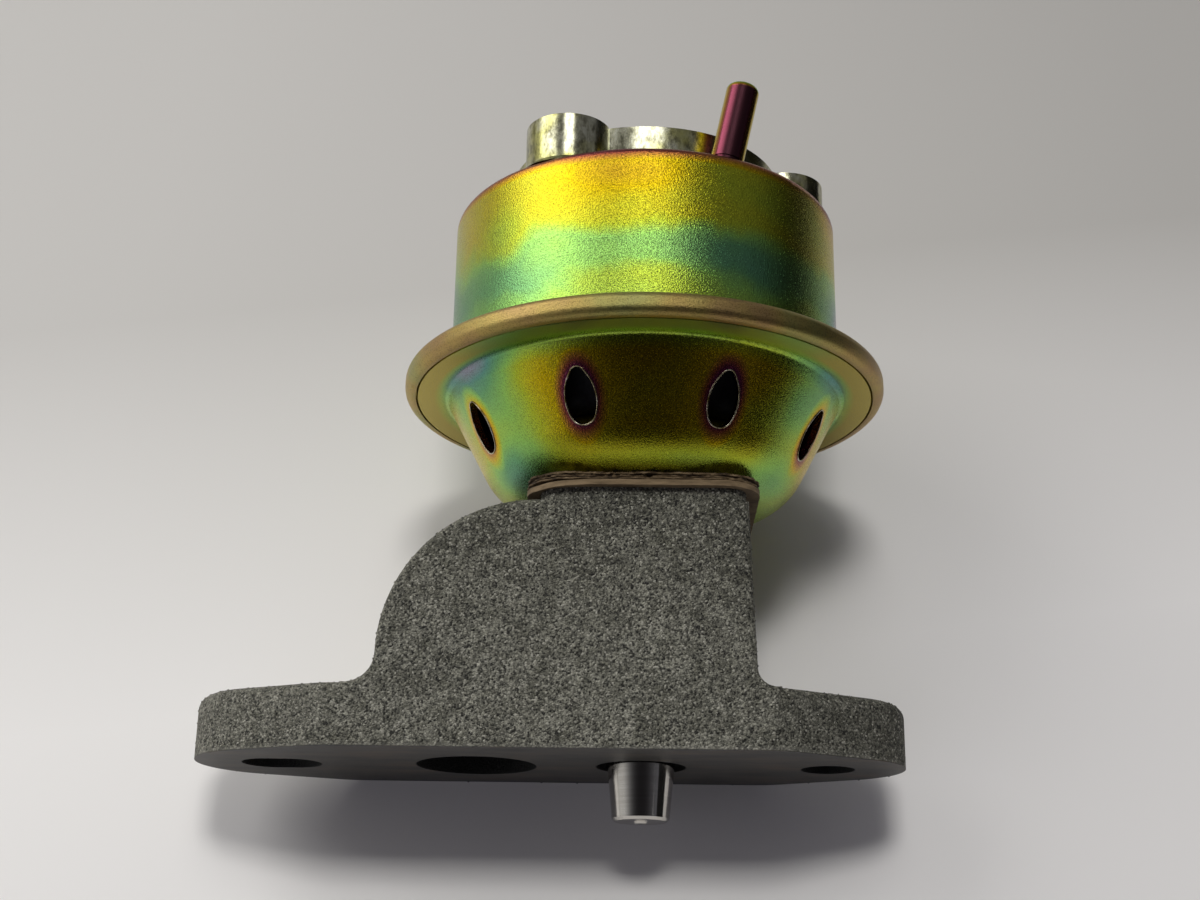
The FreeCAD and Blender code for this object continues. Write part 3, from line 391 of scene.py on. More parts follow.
def chromated_zinc(name, thickness_of, roughness, sparkle, wear_or_dark_reflection_of=None, under="#AE9870"):
    """Zinc plate under a yellow chromate film; thickness_of gives the film from place to place."""
    finish, tree, shader, place = new_finish(name)
    film = ramp(tree, thickness_of(tree, place), *FILM)
    worn_or_dark_reflection = wear_or_dark_reflection_of(tree, place) if wear_or_dark_reflection_of else 0.0
    grain = speckle(tree, place, GRAIN, 3.0)
    # The dots paint a fine sparkle: darker grains in the film, as strong as the sparkle asks.
    dots = ramp(tree, grain, (0.36, "#C2C2C2"), (0.50, "#FFFFFF"))
    gloss = span(tree, grain, 0.3, 0.7, roughness - 0.05, roughness + 0.08)
    join(tree, shader, {
        "Base Color": mix(tree, sparkle, mix(tree, worn_or_dark_reflection, film, under), dots, "MULTIPLY"),
        "Roughness": calc(tree, "MULTIPLY_ADD", worn_or_dark_reflection, 0.3, gloss),
        "Metallic": 1.0,
        "Normal": bump(tree, grain, sparkle, 0.10 * MM)})
    return finish


def summed(tree, total, changes):
    """The total with each change added to it."""
    for change in changes:
        total = calc(tree, "ADD", total, change)
    return total


def add_pools(tree, place, thickness, pools):
    """Adds flat pools of thicker or thinner film.

    A pool is degrees round from the front, way out, height, reach and change; lengths are in mm."""
    squashed = vector(tree, "MULTIPLY", place, (1.0, 1.0, POOL_SQUASH))
    for turned, out, height, reach, change in pools:
        turn = math.radians(turned)
        middle = Vector((out * math.sin(turn), -out * math.cos(turn), POOL_SQUASH * height)) * MM
        away = vector(tree, "DISTANCE", squashed, tuple(middle))
        pool = span(tree, away, reach * MM, 0.0, 0.0, change, SMOOTH)
        thickness = calc(tree, "ADD", thickness, pool)
    return thickness


def out_from_stem(tree, place):
    """How far out from the stem's axis a place is."""
    return vector(tree, "LENGTH", vector(tree, "MULTIPLY", place, (1.0, 1.0, 0.0)))


print("film colours:", len(FILM))

# %% [markdown]
# On the can the film lies in bands, as the bath drained: coppery at the rounded edge of the roof,
# gold on the upper third of the wall, green and teal round its middle, and yellow-green again at
# its foot. Pools make the bands uneven, and slow noise keeps them from looking ruled. The rolled
# rim has been rubbed to a dull brown.

# %% Vacuum can
CAN_FOOT, CAN_TOP = 66.3 * MM, 95.2 * MM
CAN_RADIUS = 33.75 * MM
CAN_POOLS = [(-60, 33.7, 69.0, 26, 0.13), (-44, 33.7, 84.0, 13, 0.05), (27, 33.7, 76.5, 16, 0.13),
             (84, 33.7, 72.0, 18, 0.46), (-14, 33.7, 91.0, 12, -0.09), (4, 33.7, 91.0, 11, -0.09),
             (-88, 33.7, 82.0, 16, 0.25), (72, 33.7, 94.0, 12, -0.16), (34, 33.7, 88.0, 14, 0.04),
             (150, 33.7, 78.0, 24, 0.20), (215, 33.7, 84.0, 20, 0.16)]


def rim_part(tree, place):
    """One on the rolled rim, nought on the can's wall."""
    return span(tree, out_from_stem(tree, place), CAN_RADIUS + 0.2 * MM, CAN_RADIUS + 1.6 * MM)


def can_film(tree, place):
    """Film thickness on the can's wall and roof, and on its rolled rim."""
    height = axis_of(tree, place, "Z")
    drift = speckle(tree, place, 14 * MM, 3.0)
    level = calc(tree, "ADD", height, span(tree, drift, 0.3, 0.7, -3.2 * MM, 3.2 * MM))
    gold = span(tree, level, CAN_FOOT + 17.5 * MM, CAN_FOOT + 12 * MM, 0.39, 0.59, SMOOTH)
    foot = span(tree, level, CAN_FOOT + 9 * MM, CAN_FOOT + 4 * MM, 0.0, -0.08, SMOOTH)
    edge = span(tree, height, CAN_TOP - 2.4 * MM, CAN_TOP - 0.9 * MM, 0.0, -0.27)
    slow = span(tree, drift, 0.3, 0.7, -0.04, 0.04)
    wall = summed(tree, add_pools(tree, place, gold, CAN_POOLS), (foot, edge, slow))
    rim = span(tree, drift, 0.35, 0.65, 0.20, 0.50)
    return mix(tree, rim_part(tree, place), wall, rim, kind="FLOAT")


def can_rubbed(tree, place):
    """How far the film is rubbed away: on the rolled rim only."""
    return calc(tree, "MULTIPLY", rim_part(tree, place), 0.7)


can_zinc = chromated_zinc("yellow chromated zinc, can", can_film, 0.20, 0.80, can_rubbed)
print("can height, mm:", round((CAN_TOP - CAN_FOOT) / MM, 1))

# %% [markdown]
# The bowl is the same plate. Its colours follow its press work: a yellow-green band at the bottom
# bend, brown olive on the front of the wall, green, teal and lilac at its sides, and a magenta halo
# round each vent, where the edge of the hole held the bath longest. Its flange is partly rubbed.

# %% Vented bowl
BOWL_FOOT, BOWL_CREASE = 43.7 * MM, 62.4 * MM
BOWL_FLOOR_RADIUS = 24.3 * MM
BOWL_SLOPE = math.radians(27.5)
VENTS = 8
VENT_FIRST = math.radians(25.0)
VENT_HEIGHT = 54.0 * MM
VENT_RADIUS = BOWL_FLOOR_RADIUS + (VENT_HEIGHT - BOWL_FOOT) * math.tan(BOWL_SLOPE)
VENT_WIDTH, VENT_LENGTH = 5.35 * MM, 9.4 * MM
FLANGE_START, FLANGE_FULL = 34.5 * MM, 36.5 * MM
BOWL_POOLS = [(-60, 33.0, 60.5, 18, 0.38), (-46, 28.5, 51.0, 13, 0.20), (64, 33.0, 60.0, 17, 0.34),
              (54, 29.5, 53.0, 13, 0.18), (-58, 25.0, 45.5, 13, 0.24), (60, 25.0, 45.5, 12, 0.22),
              (120, 31.0, 56.0, 22, 0.25), (200, 31.0, 55.0, 24, 0.22)]


def vent_distance(tree, place):
    """How far a place on the wall is from the middle of its nearest vent, in vent half-widths."""
    turned = node(tree, "ShaderNodeTexGradient", {0: place}, gradient_type="RADIAL").outputs[1]
    # the added 20.5 keeps it above nought and puts the middle of each vent at one half
    to_first = -VENTS * (VENT_FIRST / math.tau + 0.5) + 20.5
    share = calc(tree, "FRACT", calc(tree, "MULTIPLY_ADD", turned, float(VENTS), to_first))
    sideways = calc(tree, "MULTIPLY", calc(tree, "SUBTRACT", share, 0.5),
                    out_from_stem(tree, place))
    sideways = calc(tree, "MULTIPLY", sideways, math.tau / VENTS / (VENT_WIDTH / 2))
    upward = calc(tree, "SUBTRACT", axis_of(tree, place, "Z"), VENT_HEIGHT)
    upward = calc(tree, "MULTIPLY", upward, 1 / math.cos(BOWL_SLOPE) / (VENT_LENGTH / 2))
    square = calc(tree, "MULTIPLY", sideways, sideways)
    return calc(tree, "SQRT", calc(tree, "MULTIPLY_ADD", upward, upward, square))


def flange_part(tree, place):
    """One on the bowl's flat flange, nought on its wall."""
    return span(tree, out_from_stem(tree, place), FLANGE_START, FLANGE_FULL)


def bowl_film(tree, place):
    """Film thickness on the vented bowl and its flange."""
    height = axis_of(tree, place, "Z")
    band = span(tree, height, BOWL_FOOT + 2 * MM, BOWL_FOOT + 6 * MM, 0.46, 0.34)
    crease = span(tree, height, BOWL_CREASE - 2.5 * MM, BOWL_CREASE, 0.0, 0.18)
    slow = span(tree, speckle(tree, place, 16 * MM), 0.3, 0.7, -0.06, 0.06)
    halo = span(tree, vent_distance(tree, place), 1.7, 1.0, 0.0, -0.34)
    wall = summed(tree, add_pools(tree, place, band, BOWL_POOLS), (crease, slow, halo))
    flange = span(tree, axis_of(tree, place, "Y"), -36 * MM, -22 * MM, 0.66, 0.36)
    return mix(tree, flange_part(tree, place), wall, flange, kind="FLOAT")


def bowl_rubbed(tree, place):
    """How far the film is rubbed away: on the flange only."""
    return calc(tree, "MULTIPLY", flange_part(tree, place), 0.35)


bowl_zinc = chromated_zinc("yellow chromated zinc, bowl", bowl_film, 0.24, 0.60, bowl_rubbed)
print("vent ring radius, mm:", round(VENT_RADIUS / MM, 2))

# %% [markdown]
# The nipple and the small plated parts get the same film with their own thickness. The nipple shows
# the thin end of the ramp, copper and magenta, because a small tube drains fast, and a nearly black
# stripe is painted along its front as a dark reflection. The screws and plates inside the bowl are
# a plain light gold.

# %% Nipple and small plated parts
NIPPLE_FOOT_X, NIPPLE_FOOT_HEIGHT = 13.1 * MM, 95.2 * MM
NIPPLE_LEAN = math.radians(12.0)
NIPPLE_ROUND, NIPPLE_TIP = 110.6 * MM, 111.3 * MM


def across_nipple(tree, place):
    """How far right of the nipple's leaning axis a place is."""
    at_foot = NIPPLE_FOOT_HEIGHT * math.tan(NIPPLE_LEAN) - NIPPLE_FOOT_X
    spot = node(tree, "ShaderNodeSeparateXYZ", {0: place})
    lean = calc(tree, "MULTIPLY_ADD", spot.outputs["Z"], -math.tan(NIPPLE_LEAN), at_foot)
    return calc(tree, "ADD", spot.outputs["X"], lean)


def nipple_end(tree, place):
    """Nought along the tube, one on its rounded end."""
    axis = (math.sin(NIPPLE_LEAN), 0.0, math.cos(NIPPLE_LEAN))
    return span(tree, vector(tree, "DOT_PRODUCT", place, axis), NIPPLE_ROUND, NIPPLE_TIP)


def nipple_film(tree, place):
    """Film thickness on the nipple: magenta, gold at its two sides, green at its end."""
    sideways = calc(tree, "ABSOLUTE", across_nipple(tree, place))
    side = span(tree, sideways, 1.9 * MM, 2.7 * MM, 0.02, 0.34)
    tip = span(tree, nipple_end(tree, place), 0.0, 1.0, 0.0, 0.50)
    return calc(tree, "ADD", side, tip)


def nipple_dark_reflection(tree, place):
    """Painted dark reflection: how dark the nipple is painted, most along its front, not at its
    end.
    """
    from_core = calc(tree, "SUBTRACT", across_nipple(tree, place), 0.5 * MM)
    core = span(tree, calc(tree, "ABSOLUTE", from_core), 2.1 * MM, 1.0 * MM, 0.15, 0.88)
    below = calc(tree, "SUBTRACT", 1.0, nipple_end(tree, place))
    return calc(tree, "MULTIPLY", core, below)


def hardware_film(tree, place):
    """Film thickness on screws and plates: light gold."""
    return span(tree, speckle(tree, place, 8 * MM), 0.0, 1.0, 0.25, 0.45)


# The nipple's near-black colour is painted: a dark reflection along its front.
nipple_zinc = chromated_zinc("yellow chromated zinc, nipple", nipple_film, 0.12, 0.04,
                             nipple_dark_reflection, "#2E1F22")
hardware_zinc = chromated_zinc("yellow chromated zinc, hardware", hardware_film, 0.32, 0.2)
print("zinc finishes:", [m.name for m in bpy.data.materials if "zinc" in m.name])

# %% [markdown]
# The sensor base on top is zinc with a clear passivate: silver, with a breath of yellow, cloudy in
# patches and with dark streaks down its side where the bath ran off. Turned steel is the third
# metal. The lathe leaves rings, so its noise is stretched round the stem and stays fine along it.

# %% Clear zinc and turned steel
RING_PITCH = 0.22 * MM

clear_zinc, tree, shader, place = new_finish("clear passivated zinc")
stretched = node(tree, "ShaderNodeMapping", {"Vector": place, "Scale": (1.0, 1.0, 0.55)})
streak = speckle(tree, stretched, 1.2 * MM, 6.0, 0.7)
silver = ramp(tree, streak, (0.30, "#4A483B"), (0.41, "#89876F"), (0.52, "#B8B69C"),
              (0.70, "#D3D3BF"))
yellow = ramp(tree, speckle(tree, place, 5 * MM), (0.45, "#FFFFFF"), (0.65, "#F0EEB0"))
join(tree, shader, {
    "Base Color": mix(tree, 1.0, silver, yellow, "MULTIPLY"), "Metallic": 1.0,
    "Roughness": 0.20, "Normal": bump(tree, streak, 0.2, 0.03 * MM)})

turned_steel, tree, shader, place = new_finish("turned stainless steel")
rings = node(tree, "ShaderNodeMapping", {"Vector": place, "Scale": (0.02, 0.02, 1.0)})
ring = speckle(tree, rings, RING_PITCH, 3.0)
join(tree, shader, {
    "Base Color": ramp(tree, ring, (0.3, "#BDB9B2"), (0.7, "#CBC8C2")), "Metallic": 1.0,
    "Roughness": 0.11, "Normal": bump(tree, ring, 0.03, 0.01 * MM)})
print("steel ring pitch, mm:", round(RING_PITCH / MM, 2))

# %% [markdown]
# The remaining finishes sit inside or peep out: sintered bronze in the guide, graphite packing,
# nitrile rubber with the print of its fabric, a nylon button, spring wire and the brazing round the
# nipple's foot.

# %% Inside finishes
def plain_finish(name, low, high, grain, metallic, roughness, relief):
    """A finish of one tone that wavers between two shades, with a fine relief."""
    finish, tree, shader, place = new_finish(name)
    waver = speckle(tree, place, grain * MM, 4.0)
    join(tree, shader, {
        "Base Color": ramp(tree, waver, (0.35, low), (0.65, high)), "Metallic": metallic,
        "Roughness": roughness, "Normal": bump(tree, waver, 0.5, relief * MM)})
    return finish


bronze = plain_finish("sintered bronze", "#6F5230", "#96733F", 0.2, 1.0, 0.5, 0.03)
packing = plain_finish("graphite packing", "#232325", "#3A3A3C", 0.5, 0.2, 0.6, 0.08)
rubber = plain_finish("fabric-reinforced nitrile rubber", "#191919", "#262626", 0.6, 0.0, 0.7, 0.05)
nylon = plain_finish("natural nylon", "#CFC9B6", "#DBD6C6", 2.0, 0.0, 0.45, 0.01)
spring_wire = plain_finish("drawn spring wire", "#6E6C69", "#8C8A86", 0.4, 1.0, 0.35, 0.01)
braze = plain_finish("brass brazing", "#8E6B3A", "#C39A57", 0.7, 1.0, 0.38, 0.05)
print("inside finishes made")

# %% [markdown]
# The gasket is compressed fibre, two plies thick. Heat and damp have opened it: the lower ply still
# has a smooth tan edge, while the upper one frays into layers with dark gaps and grey flakes.

# %% Gasket fibre
def aged_fibre(name, layer, relief, *stops):
    """Compressed fibre that shows its layers as fine lines along its edge."""
    finish, tree, shader, place = new_finish(name)
    layers = node(tree, "ShaderNodeMapping", {"Vector": place, "Scale": (0.18, 0.18, 1.0)})
    fray = speckle(tree, layers, layer * MM, 5.0, 0.7)
    join(tree, shader, {"Base Color": ramp(tree, fray, *stops), "Roughness": 0.85,
                        "Normal": bump(tree, fray, 0.8, relief * MM)})
    return finish


whole_fibre = aged_fibre("compressed fibre, whole ply", 0.9, 0.04,
                         (0.30, "#52442F"), (0.50, "#736148"), (0.70, "#8B775A"))
torn_fibre = aged_fibre("compressed fibre, torn ply", 0.30, 0.15,
                        (0.34, "#16110C"), (0.46, "#42331F"), (0.58, "#6B5940"), (0.72, "#968468"))
print("gasket finishes:", whole_fibre.name, "and", torn_fibre.name)

# %% [markdown]
# Each CAD part now takes its finish. The parts themselves stay as they are: only the material slot
# of each object is filled.

# %% Dress the CAD parts
FINISHES = {
    cast_iron: ["valve_body"],
    turned_steel: ["valve_pintle", "valve_stem", "seat_ring", "heat_shield"],
    bronze: ["stem_bushing"],
    packing: ["stem_seal"],
    whole_fibre: ["base_gasket_lower"],
    torn_fibre: ["base_gasket_upper"],
    bowl_zinc: ["lower_shell"],
    can_zinc: ["upper_can"],
    clear_zinc: ["sensor_base", "seal_retainer", "stem_washer"],
    hardware_zinc: ["shell_screws", "clamp_plate", "lower_plate", "spring_cup", "spring_seat"],
    nipple_zinc: ["vacuum_nipple"],
    braze: ["nipple_collar"],
    rubber: ["diaphragm", "base_seal"],
    nylon: ["sensor_button"],
    spring_wire: ["return_spring"],
}
for finish, names in FINISHES.items():
    for name in names:
        for slot in nodes[name].material_slots:
            slot.link = "OBJECT"
            slot.material = finish
print("dressed:", sum(len(names) for names in FINISHES.values()), "of", len(nodes))

# %% [markdown]
# A sand casting has real crumbs on its skin, not only a pattern. Displacing the whole body would
# soften its machined holes, so the crumbs are scattered instead: Geometry Nodes drops points on
# the as-cast faces and puts a small stone of twenty faces on each. The faces are picked first: a
# face is outside if a ray along its normal meets nothing, and cast if it isn't at the mounting
# face, the top of the neck or the two ends of the flange.

# %% Find the as-cast skin
SKIN_MARGIN = 0.6 * MM
CAST_LOW, CAST_HIGH = 0.5 * MM, 41.7 * MM
RAY_START, RAY_LENGTH = 0.01 * MM, 0.1


def as_cast_skin(node_name):
    """A mesh of the outside faces of the casting that no tool has touched."""
    skin = bmesh.new()
    skin.from_mesh(nodes[node_name].data)
    bmesh.ops.remove_doubles(skin, verts=skin.verts, dist=0.001 * MM)
    tree = BVHTree.FromBMesh(skin)
    left_out = []
    for face in skin.faces:
        middle, normal = face.calc_center_median(), face.normal
        inside = tree.ray_cast(middle + normal * RAY_START, normal, RAY_LENGTH)[0]
        near_end = not cad_low.x + SKIN_MARGIN <= middle.x <= cad_high.x - SKIN_MARGIN
        if inside or near_end or normal.z < -0.9 or not CAST_LOW <= middle.z <= CAST_HIGH:
            left_out.append(face)
    bmesh.ops.delete(skin, geom=left_out, context="FACES")
    mesh = bpy.data.meshes.new("as_cast_skin")
    skin.to_mesh(mesh)
    skin.free()
    return mesh


skin_mesh = as_cast_skin("valve_body")
print("as-cast faces:", len(skin_mesh.polygons))

# %% [markdown]
# The scatter tree takes its sizes from named inputs. The points keep a fixed seed, so the casting
# is the same each time. Each stone gets its own turn and its own squeezed size.

# %% Scatter the casting grit
def geometry_tree(name, inputs, takes_geometry=False):
    """A Geometry Nodes tree with named inputs, its input and output node."""
    tree = bpy.data.node_groups.new(name, "GeometryNodeTree")
    face = tree.interface
    face.new_socket("Geometry", in_out="OUTPUT", socket_type="NodeSocketGeometry")
    if takes_geometry:
        face.new_socket("Geometry", in_out="INPUT", socket_type="NodeSocketGeometry")
    for title, (kind, value) in inputs.items():
        face.new_socket(title, in_out="INPUT", socket_type=kind).default_value = value
    return tree, tree.nodes.new("NodeGroupInput"), tree.nodes.new("NodeGroupOutput")


def real_and_painted(tree, instances, finish, result):
    """Ends a tree: the copies are made real, take their finish and go to its output."""
    real = node(tree, "GeometryNodeRealizeInstances", {"Geometry": instances})
    painted = node(tree, "GeometryNodeSetMaterial", {"Geometry": real, "Material": finish})
    tree.links.new(painted.outputs[0], result.inputs[0])


def run_tree(name, tree, source=None):
    """Runs a tree on a mesh and returns the result as one plain object."""
    carrier = bpy.data.objects.new(name, source or bpy.data.meshes.new(name))
    bpy.context.collection.objects.link(carrier)
    modifier = carrier.modifiers.new(name, "NODES")
    modifier.node_group = tree
    shown = carrier.evaluated_get(bpy.context.evaluated_depsgraph_get())
    mesh = bpy.data.meshes.new_from_object(shown)
    carrier.modifiers.remove(modifier)
    carrier.data = mesh
    mesh.name = name
    return carrier


def random_vector(tree, low, high, seed):
    """A vector for each point, with each of its parts between two values."""
    return node(tree, "FunctionNodeRandomValue", {"Min": low, "Max": high, "Seed": seed},
                data_type="FLOAT_VECTOR")


grit_tree, given, result = geometry_tree("casting grit", {
    "Density": ("NodeSocketFloat", 6.0e5),
    "Smallest": ("NodeSocketFloat", 0.08 * MM),
    "Largest": ("NodeSocketFloat", 0.22 * MM),
}, takes_geometry=True)
points = node(grit_tree, "GeometryNodeDistributePointsOnFaces", {
    "Mesh": given.outputs["Geometry"], "Density": given.outputs["Density"], "Seed": 7})
stone = node(grit_tree, "GeometryNodeMeshIcoSphere", {"Radius": 1.0, "Subdivisions": 1})
size = node(grit_tree, "FunctionNodeRandomValue", {
    "Min": given.outputs["Smallest"], "Max": given.outputs["Largest"], "Seed": 3})
squeeze = random_vector(grit_tree, (0.7, 0.7, 0.5), (1.2, 1.2, 0.9), 4)
scale = node(grit_tree, "ShaderNodeVectorMath", {0: squeeze, "Scale": size}, operation="SCALE")
turn = random_vector(grit_tree, (0.0, 0.0, 0.0), (6.28, 6.28, 6.28), 5)
stones = node(grit_tree, "GeometryNodeInstanceOnPoints", {
    "Points": points.outputs["Points"], "Instance": stone.outputs["Mesh"], "Scale": scale,
    "Rotation": turn})
real_and_painted(grit_tree, stones, cast_iron, result)
grit = run_tree("casting_grit", grit_tree, skin_mesh)
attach(grit, "housing")
print("grit faces:", len(grit.data.polygons))

# %% [markdown]
# The punch that cut the vents left a thin bright lip round each one. A vent is egg-shaped: a kite
# whose corners are rounded until they almost meet, widest just below its middle. The lip follows
# it, and the vents repeat round the bowl, so Geometry Nodes sweeps a thin wire along one outline,
# lays it on the cone of the wall, and turns eight copies round the stem.

# %% Vent lips
bright_edge, tree, shader, place = new_finish("bare punched edge")
worn = speckle(tree, place, 1.5 * MM, 3.0)
edge_tone = ramp(tree, worn, (0.35, "#7C6A3C"), (0.55, "#C9BFA0"), (0.70, "#E6E2D8"))
join(tree, shader, {"Base Color": edge_tone, "Metallic": 1.0, "Roughness": 0.25})

VENT_HEEL, VENT_TIP, VENT_SIDE, VENT_WAIST = 8.13 * MM, 5.57 * MM, 3.62 * MM, 0.22 * MM
HEEL_ROUND, TIP_ROUND, SIDE_ROUND = 2.2 * MM, 1.3 * MM, 7.0 * MM
WALL_AT_ZERO = BOWL_FLOOR_RADIUS - BOWL_FOOT * math.tan(BOWL_SLOPE)

lip_tree, given, result = geometry_tree("vent lips", {
    "Vents": ("NodeSocketInt", VENTS),
    "Width": ("NodeSocketFloat", 2 * VENT_SIDE),
    "Heel": ("NodeSocketFloat", VENT_HEEL),
    "Tip": ("NodeSocketFloat", VENT_TIP),
    "Wire": ("NodeSocketFloat", 0.13 * MM),
})
kite = node(lip_tree, "GeometryNodeCurvePrimitiveQuadrilateral", {
    "Width": given.outputs["Width"], "Bottom Height": given.outputs["Heel"],
    "Top Height": given.outputs["Tip"]}, mode="KITE")
corner = axis_of(lip_tree, node(lip_tree, "GeometryNodeInputPosition"), "Y")
lower_round = span(lip_tree, corner, -VENT_HEEL, 0.0, HEEL_ROUND, SIDE_ROUND)
upper_round = span(lip_tree, corner, 0.0, VENT_TIP, 0.0, SIDE_ROUND - TIP_ROUND)
round_size = calc(lip_tree, "SUBTRACT", lower_round, upper_round)
egg = node(lip_tree, "GeometryNodeFilletCurve", {"Curve": kite, "Radius": round_size,
                                                 "Count": 14}, mode="POLY")
fine = node(lip_tree, "GeometryNodeResampleCurve", {"Curve": egg, "Count": 64})
raised = node(lip_tree, "GeometryNodeTransform", {"Geometry": fine,
                                                  "Translation": (0.0, VENT_WAIST, 0.0)})
stood = node(lip_tree, "GeometryNodeTransform", {
    "Geometry": raised, "Rotation": (math.pi / 2 - BOWL_SLOPE, 0.0, -math.pi / 2),
    "Translation": (VENT_RADIUS, 0.0, VENT_HEIGHT)})

spot = node(lip_tree, "ShaderNodeSeparateXYZ", {0: node(lip_tree, "GeometryNodeInputPosition")})
x, y, z = (spot.outputs[axis] for axis in "XYZ")
wall_out = calc(lip_tree, "MULTIPLY_ADD", z, math.tan(BOWL_SLOPE), WALL_AT_ZERO)
now_out = vector(lip_tree, "LENGTH", node(lip_tree, "ShaderNodeCombineXYZ", {0: x, 1: y}))
ratio = calc(lip_tree, "DIVIDE", wall_out, now_out)
on_wall = node(lip_tree, "ShaderNodeCombineXYZ", {
    0: calc(lip_tree, "MULTIPLY", x, ratio), 1: calc(lip_tree, "MULTIPLY", y, ratio), 2: z})
laid = node(lip_tree, "GeometryNodeSetPosition", {"Geometry": stood, "Position": on_wall})

wire = node(lip_tree, "GeometryNodeCurvePrimitiveCircle", {"Radius": given.outputs["Wire"],
                                                           "Resolution": 8}, mode="RADIUS")
lip = node(lip_tree, "GeometryNodeCurveToMesh", {"Curve": laid, "Profile Curve": wire})
marks = node(lip_tree, "GeometryNodePoints", {"Count": given.outputs["Vents"]})
step = calc(lip_tree, "DIVIDE", math.tau, given.outputs["Vents"])
angle = calc(lip_tree, "MULTIPLY_ADD", node(lip_tree, "GeometryNodeInputIndex"), step, VENT_FIRST)
ring = node(lip_tree, "GeometryNodeInstanceOnPoints", {
    "Points": marks, "Instance": lip,
    "Rotation": node(lip_tree, "ShaderNodeCombineXYZ", {2: angle})})
real_and_painted(lip_tree, ring, bright_edge, result)
lips = run_tree("vent_lips", lip_tree)
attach(lips, "housing")
print("lip faces:", len(lips.data.polygons))

# %% [markdown]
# The gasket's edge is what shows. The lower ply is whole and droops a little where the casting no
# longer holds it up, most at the left front corner. The upper ply has split into thin layers, each
# torn along its own line and lifted by its own amount. A texture can't cast the dark gaps between
# them, so each layer is a real sheet, built in mesh code from the gasket's outline.

# %% Gasket outline
GASKET_HALF_X, GASKET_HALF_Y, GASKET_CORNER = 19.0 * MM, 20.8 * MM, 7.0 * MM
GASKET_BORE = 8.6 * MM
GASKET_STEP = 0.30 * MM


def gasket_outline():
    """Points round the gasket, each with the way out of it."""
    across, along = GASKET_HALF_X - GASKET_CORNER, GASKET_HALF_Y - GASKET_CORNER
    middles = [(across, along), (-across, along), (-across, -along), (across, -along)]
    walk = []
    for quarter, (x, y) in enumerate(middles):
        steps = round(GASKET_CORNER * math.pi / 2 / GASKET_STEP)
        for i in range(steps):
            angle = (quarter + i / steps) * math.pi / 2
            out = Vector((math.cos(angle), math.sin(angle), 0))
            walk.append((Vector((x, y, 0)) + GASKET_CORNER * out, out))
        angle = (quarter + 1) * math.pi / 2
        out = Vector((math.cos(angle), math.sin(angle), 0))
        start = Vector((x, y, 0)) + GASKET_CORNER * out
        end = Vector((*middles[(quarter + 1) % 4], 0)) + GASKET_CORNER * out
        steps = round((end - start).length / GASKET_STEP)
        walk += [(start.lerp(end, i / steps), out) for i in range(steps)]
    return walk


OUTLINE = gasket_outline()
print("outline points:", len(OUTLINE))

# %% [markdown]
# Each layer is a ring of six rows: the bore, a row three millimetres in from the edge, and the torn
# edge, each with a top and a bottom. Only the edge row moves: outwards with noise, and up or down.

# %% Gasket layers
CURL_CORNER = Vector((-17.5, -19.5, 0)) * MM
CURL_REACH = 9 * MM
EDGE_ROW = 3.2 * MM
FLAKE_HEIGHT = 43.55 * MM


def torn(point, seed, size):
    """Smooth noise between -1 and 1 at a place on the outline."""
    return noise.noise(Vector((point.x / size, point.y / size, seed)))


def add_layer(build, low, high, inset, tear, lift, droop, seed):
    """Adds one sheet of fibre with a torn edge between two heights."""
    rows = []
    for point, out in OUTLINE:
        notch = max(0.0, torn(point, seed + 9.1, 1.6 * MM) - 0.35) * 2.6 * tear
        wander = 0.7 * torn(point, seed, 2.4 * MM) + 0.4 * torn(point, seed, 0.7 * MM)
        reach = tear * wander - inset - notch
        curl = max(0.0, 1 - (point - CURL_CORNER).length / CURL_REACH)
        rise = lift * (0.6 + 0.6 * torn(point, seed + 4.7, 3.1 * MM)) - droop * (0.25 + 1.6 * curl)
        edge = point + reach * out
        bore = GASKET_BORE * point.normalized()
        root = point - EDGE_ROW * out
        row = [(bore, low), (root, low), (edge, low + rise), (edge, high + rise), (root, high),
               (bore, high)]
        rows.append([build.verts.new((spot.x, spot.y, z)) for spot, z in row])
    for here, there in zip(rows, rows[1:] + rows[:1]):
        for i in range(6):
            build.faces.new((here[i], there[i], there[(i + 1) % 6], here[(i + 1) % 6]))


def add_flake(build, middle, size, seed):
    """Adds one loose grey flake: a flat box with its corners moved."""
    dice = random.Random(seed)
    made = bmesh.ops.create_cube(build, size=1.0)["verts"]
    spin = Matrix.Rotation(dice.uniform(0, math.tau), 3, "Z")
    turn = spin @ Matrix.Rotation(dice.uniform(-0.5, 0.5), 3, "X")
    for vert in made:
        spot = Vector((vert.co.x * size, vert.co.y * size * 0.6, vert.co.z * size * 0.25))
        vert.co = middle + turn @ (spot * dice.uniform(0.75, 1.2))


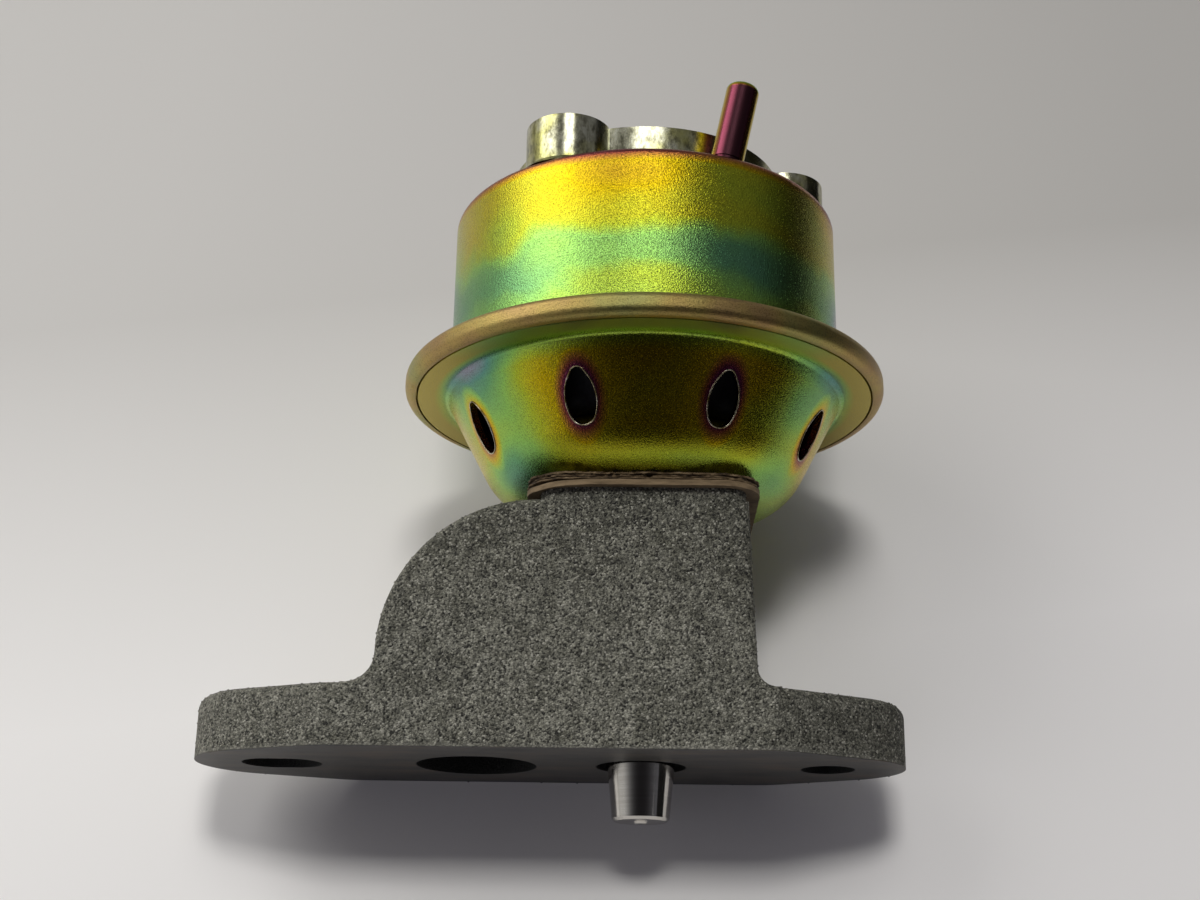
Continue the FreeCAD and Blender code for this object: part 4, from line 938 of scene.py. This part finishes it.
def gasket_piece(name, finish, layers, flakes, node_name):
    """A ply of the gasket from its layers and flakes, in place of its CAD node."""
    build = bmesh.new()
    for layer in layers:
        add_layer(build, *layer)
    for seed in range(flakes):
        dice = random.Random(40 + seed)
        point, out = OUTLINE[int(len(OUTLINE) * (0.53 + 0.20 * dice.random()))]
        middle = point - 0.2 * MM * out + Vector((0, 0, FLAKE_HEIGHT))
        add_flake(build, middle, dice.uniform(0.5, 1.0) * MM, seed)
    bmesh.ops.recalc_face_normals(build, faces=build.faces)
    mesh = bpy.data.meshes.new(name)
    build.to_mesh(mesh)
    build.free()
    mesh.materials.append(finish)
    piece = bpy.data.objects.new(name, mesh)
    bpy.context.collection.objects.link(piece)
    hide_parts(node_name)
    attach(piece, "housing")
    return piece


lower_ply = gasket_piece("gasket_lower_ply", whole_fibre, [
    (41.80 * MM, 42.70 * MM, 0.10 * MM, 0.10 * MM, 0.0, 0.42 * MM, 1.0)], 0, "base_gasket_lower")
upper_ply = gasket_piece("gasket_upper_ply", torn_fibre, [
    (42.74 * MM, 42.98 * MM, 0.15 * MM, 0.45 * MM, 0.02 * MM, 0.10 * MM, 11.0),
    (43.02 * MM, 43.30 * MM, 0.45 * MM, 0.70 * MM, 0.14 * MM, 0.0, 23.0),
    (43.34 * MM, 43.66 * MM, 0.20 * MM, 0.60 * MM, 0.26 * MM, 0.0, 37.0)], 12, "base_gasket_upper")
print("gasket faces:", len(lower_ply.data.polygons) + len(upper_ply.data.polygons))

# %% [markdown]
# The return spring and the diaphragm are held by the housing at the top and follow the stem at the
# bottom. As rigid pieces they would be left behind when the stem lifts. A copy of each, with the
# same finishes, takes the place of its CAD node; the copy is rigid, and nothing here makes it bend.


def bending_copy(name, node_name):
    """A rigid copy of a CAD piece, with its finishes, in place of the CAD node, which is hidden."""
    source = nodes[node_name]
    piece = bpy.data.objects.new(name, source.data.copy())
    bpy.context.collection.objects.link(piece)
    for index, part in enumerate(source.material_slots):
        piece.data.materials[index] = part.material
    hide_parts(node_name)
    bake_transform(piece)
    return piece


bending = [bending_copy("bending_spring", "return_spring"),
           bending_copy("rolling_diaphragm", "diaphragm")]
print("bending faces:", sum(len(piece.data.polygons) for piece in bending))

# %% Finish
bpy.context.scene.view_settings.view_transform = "Standard"
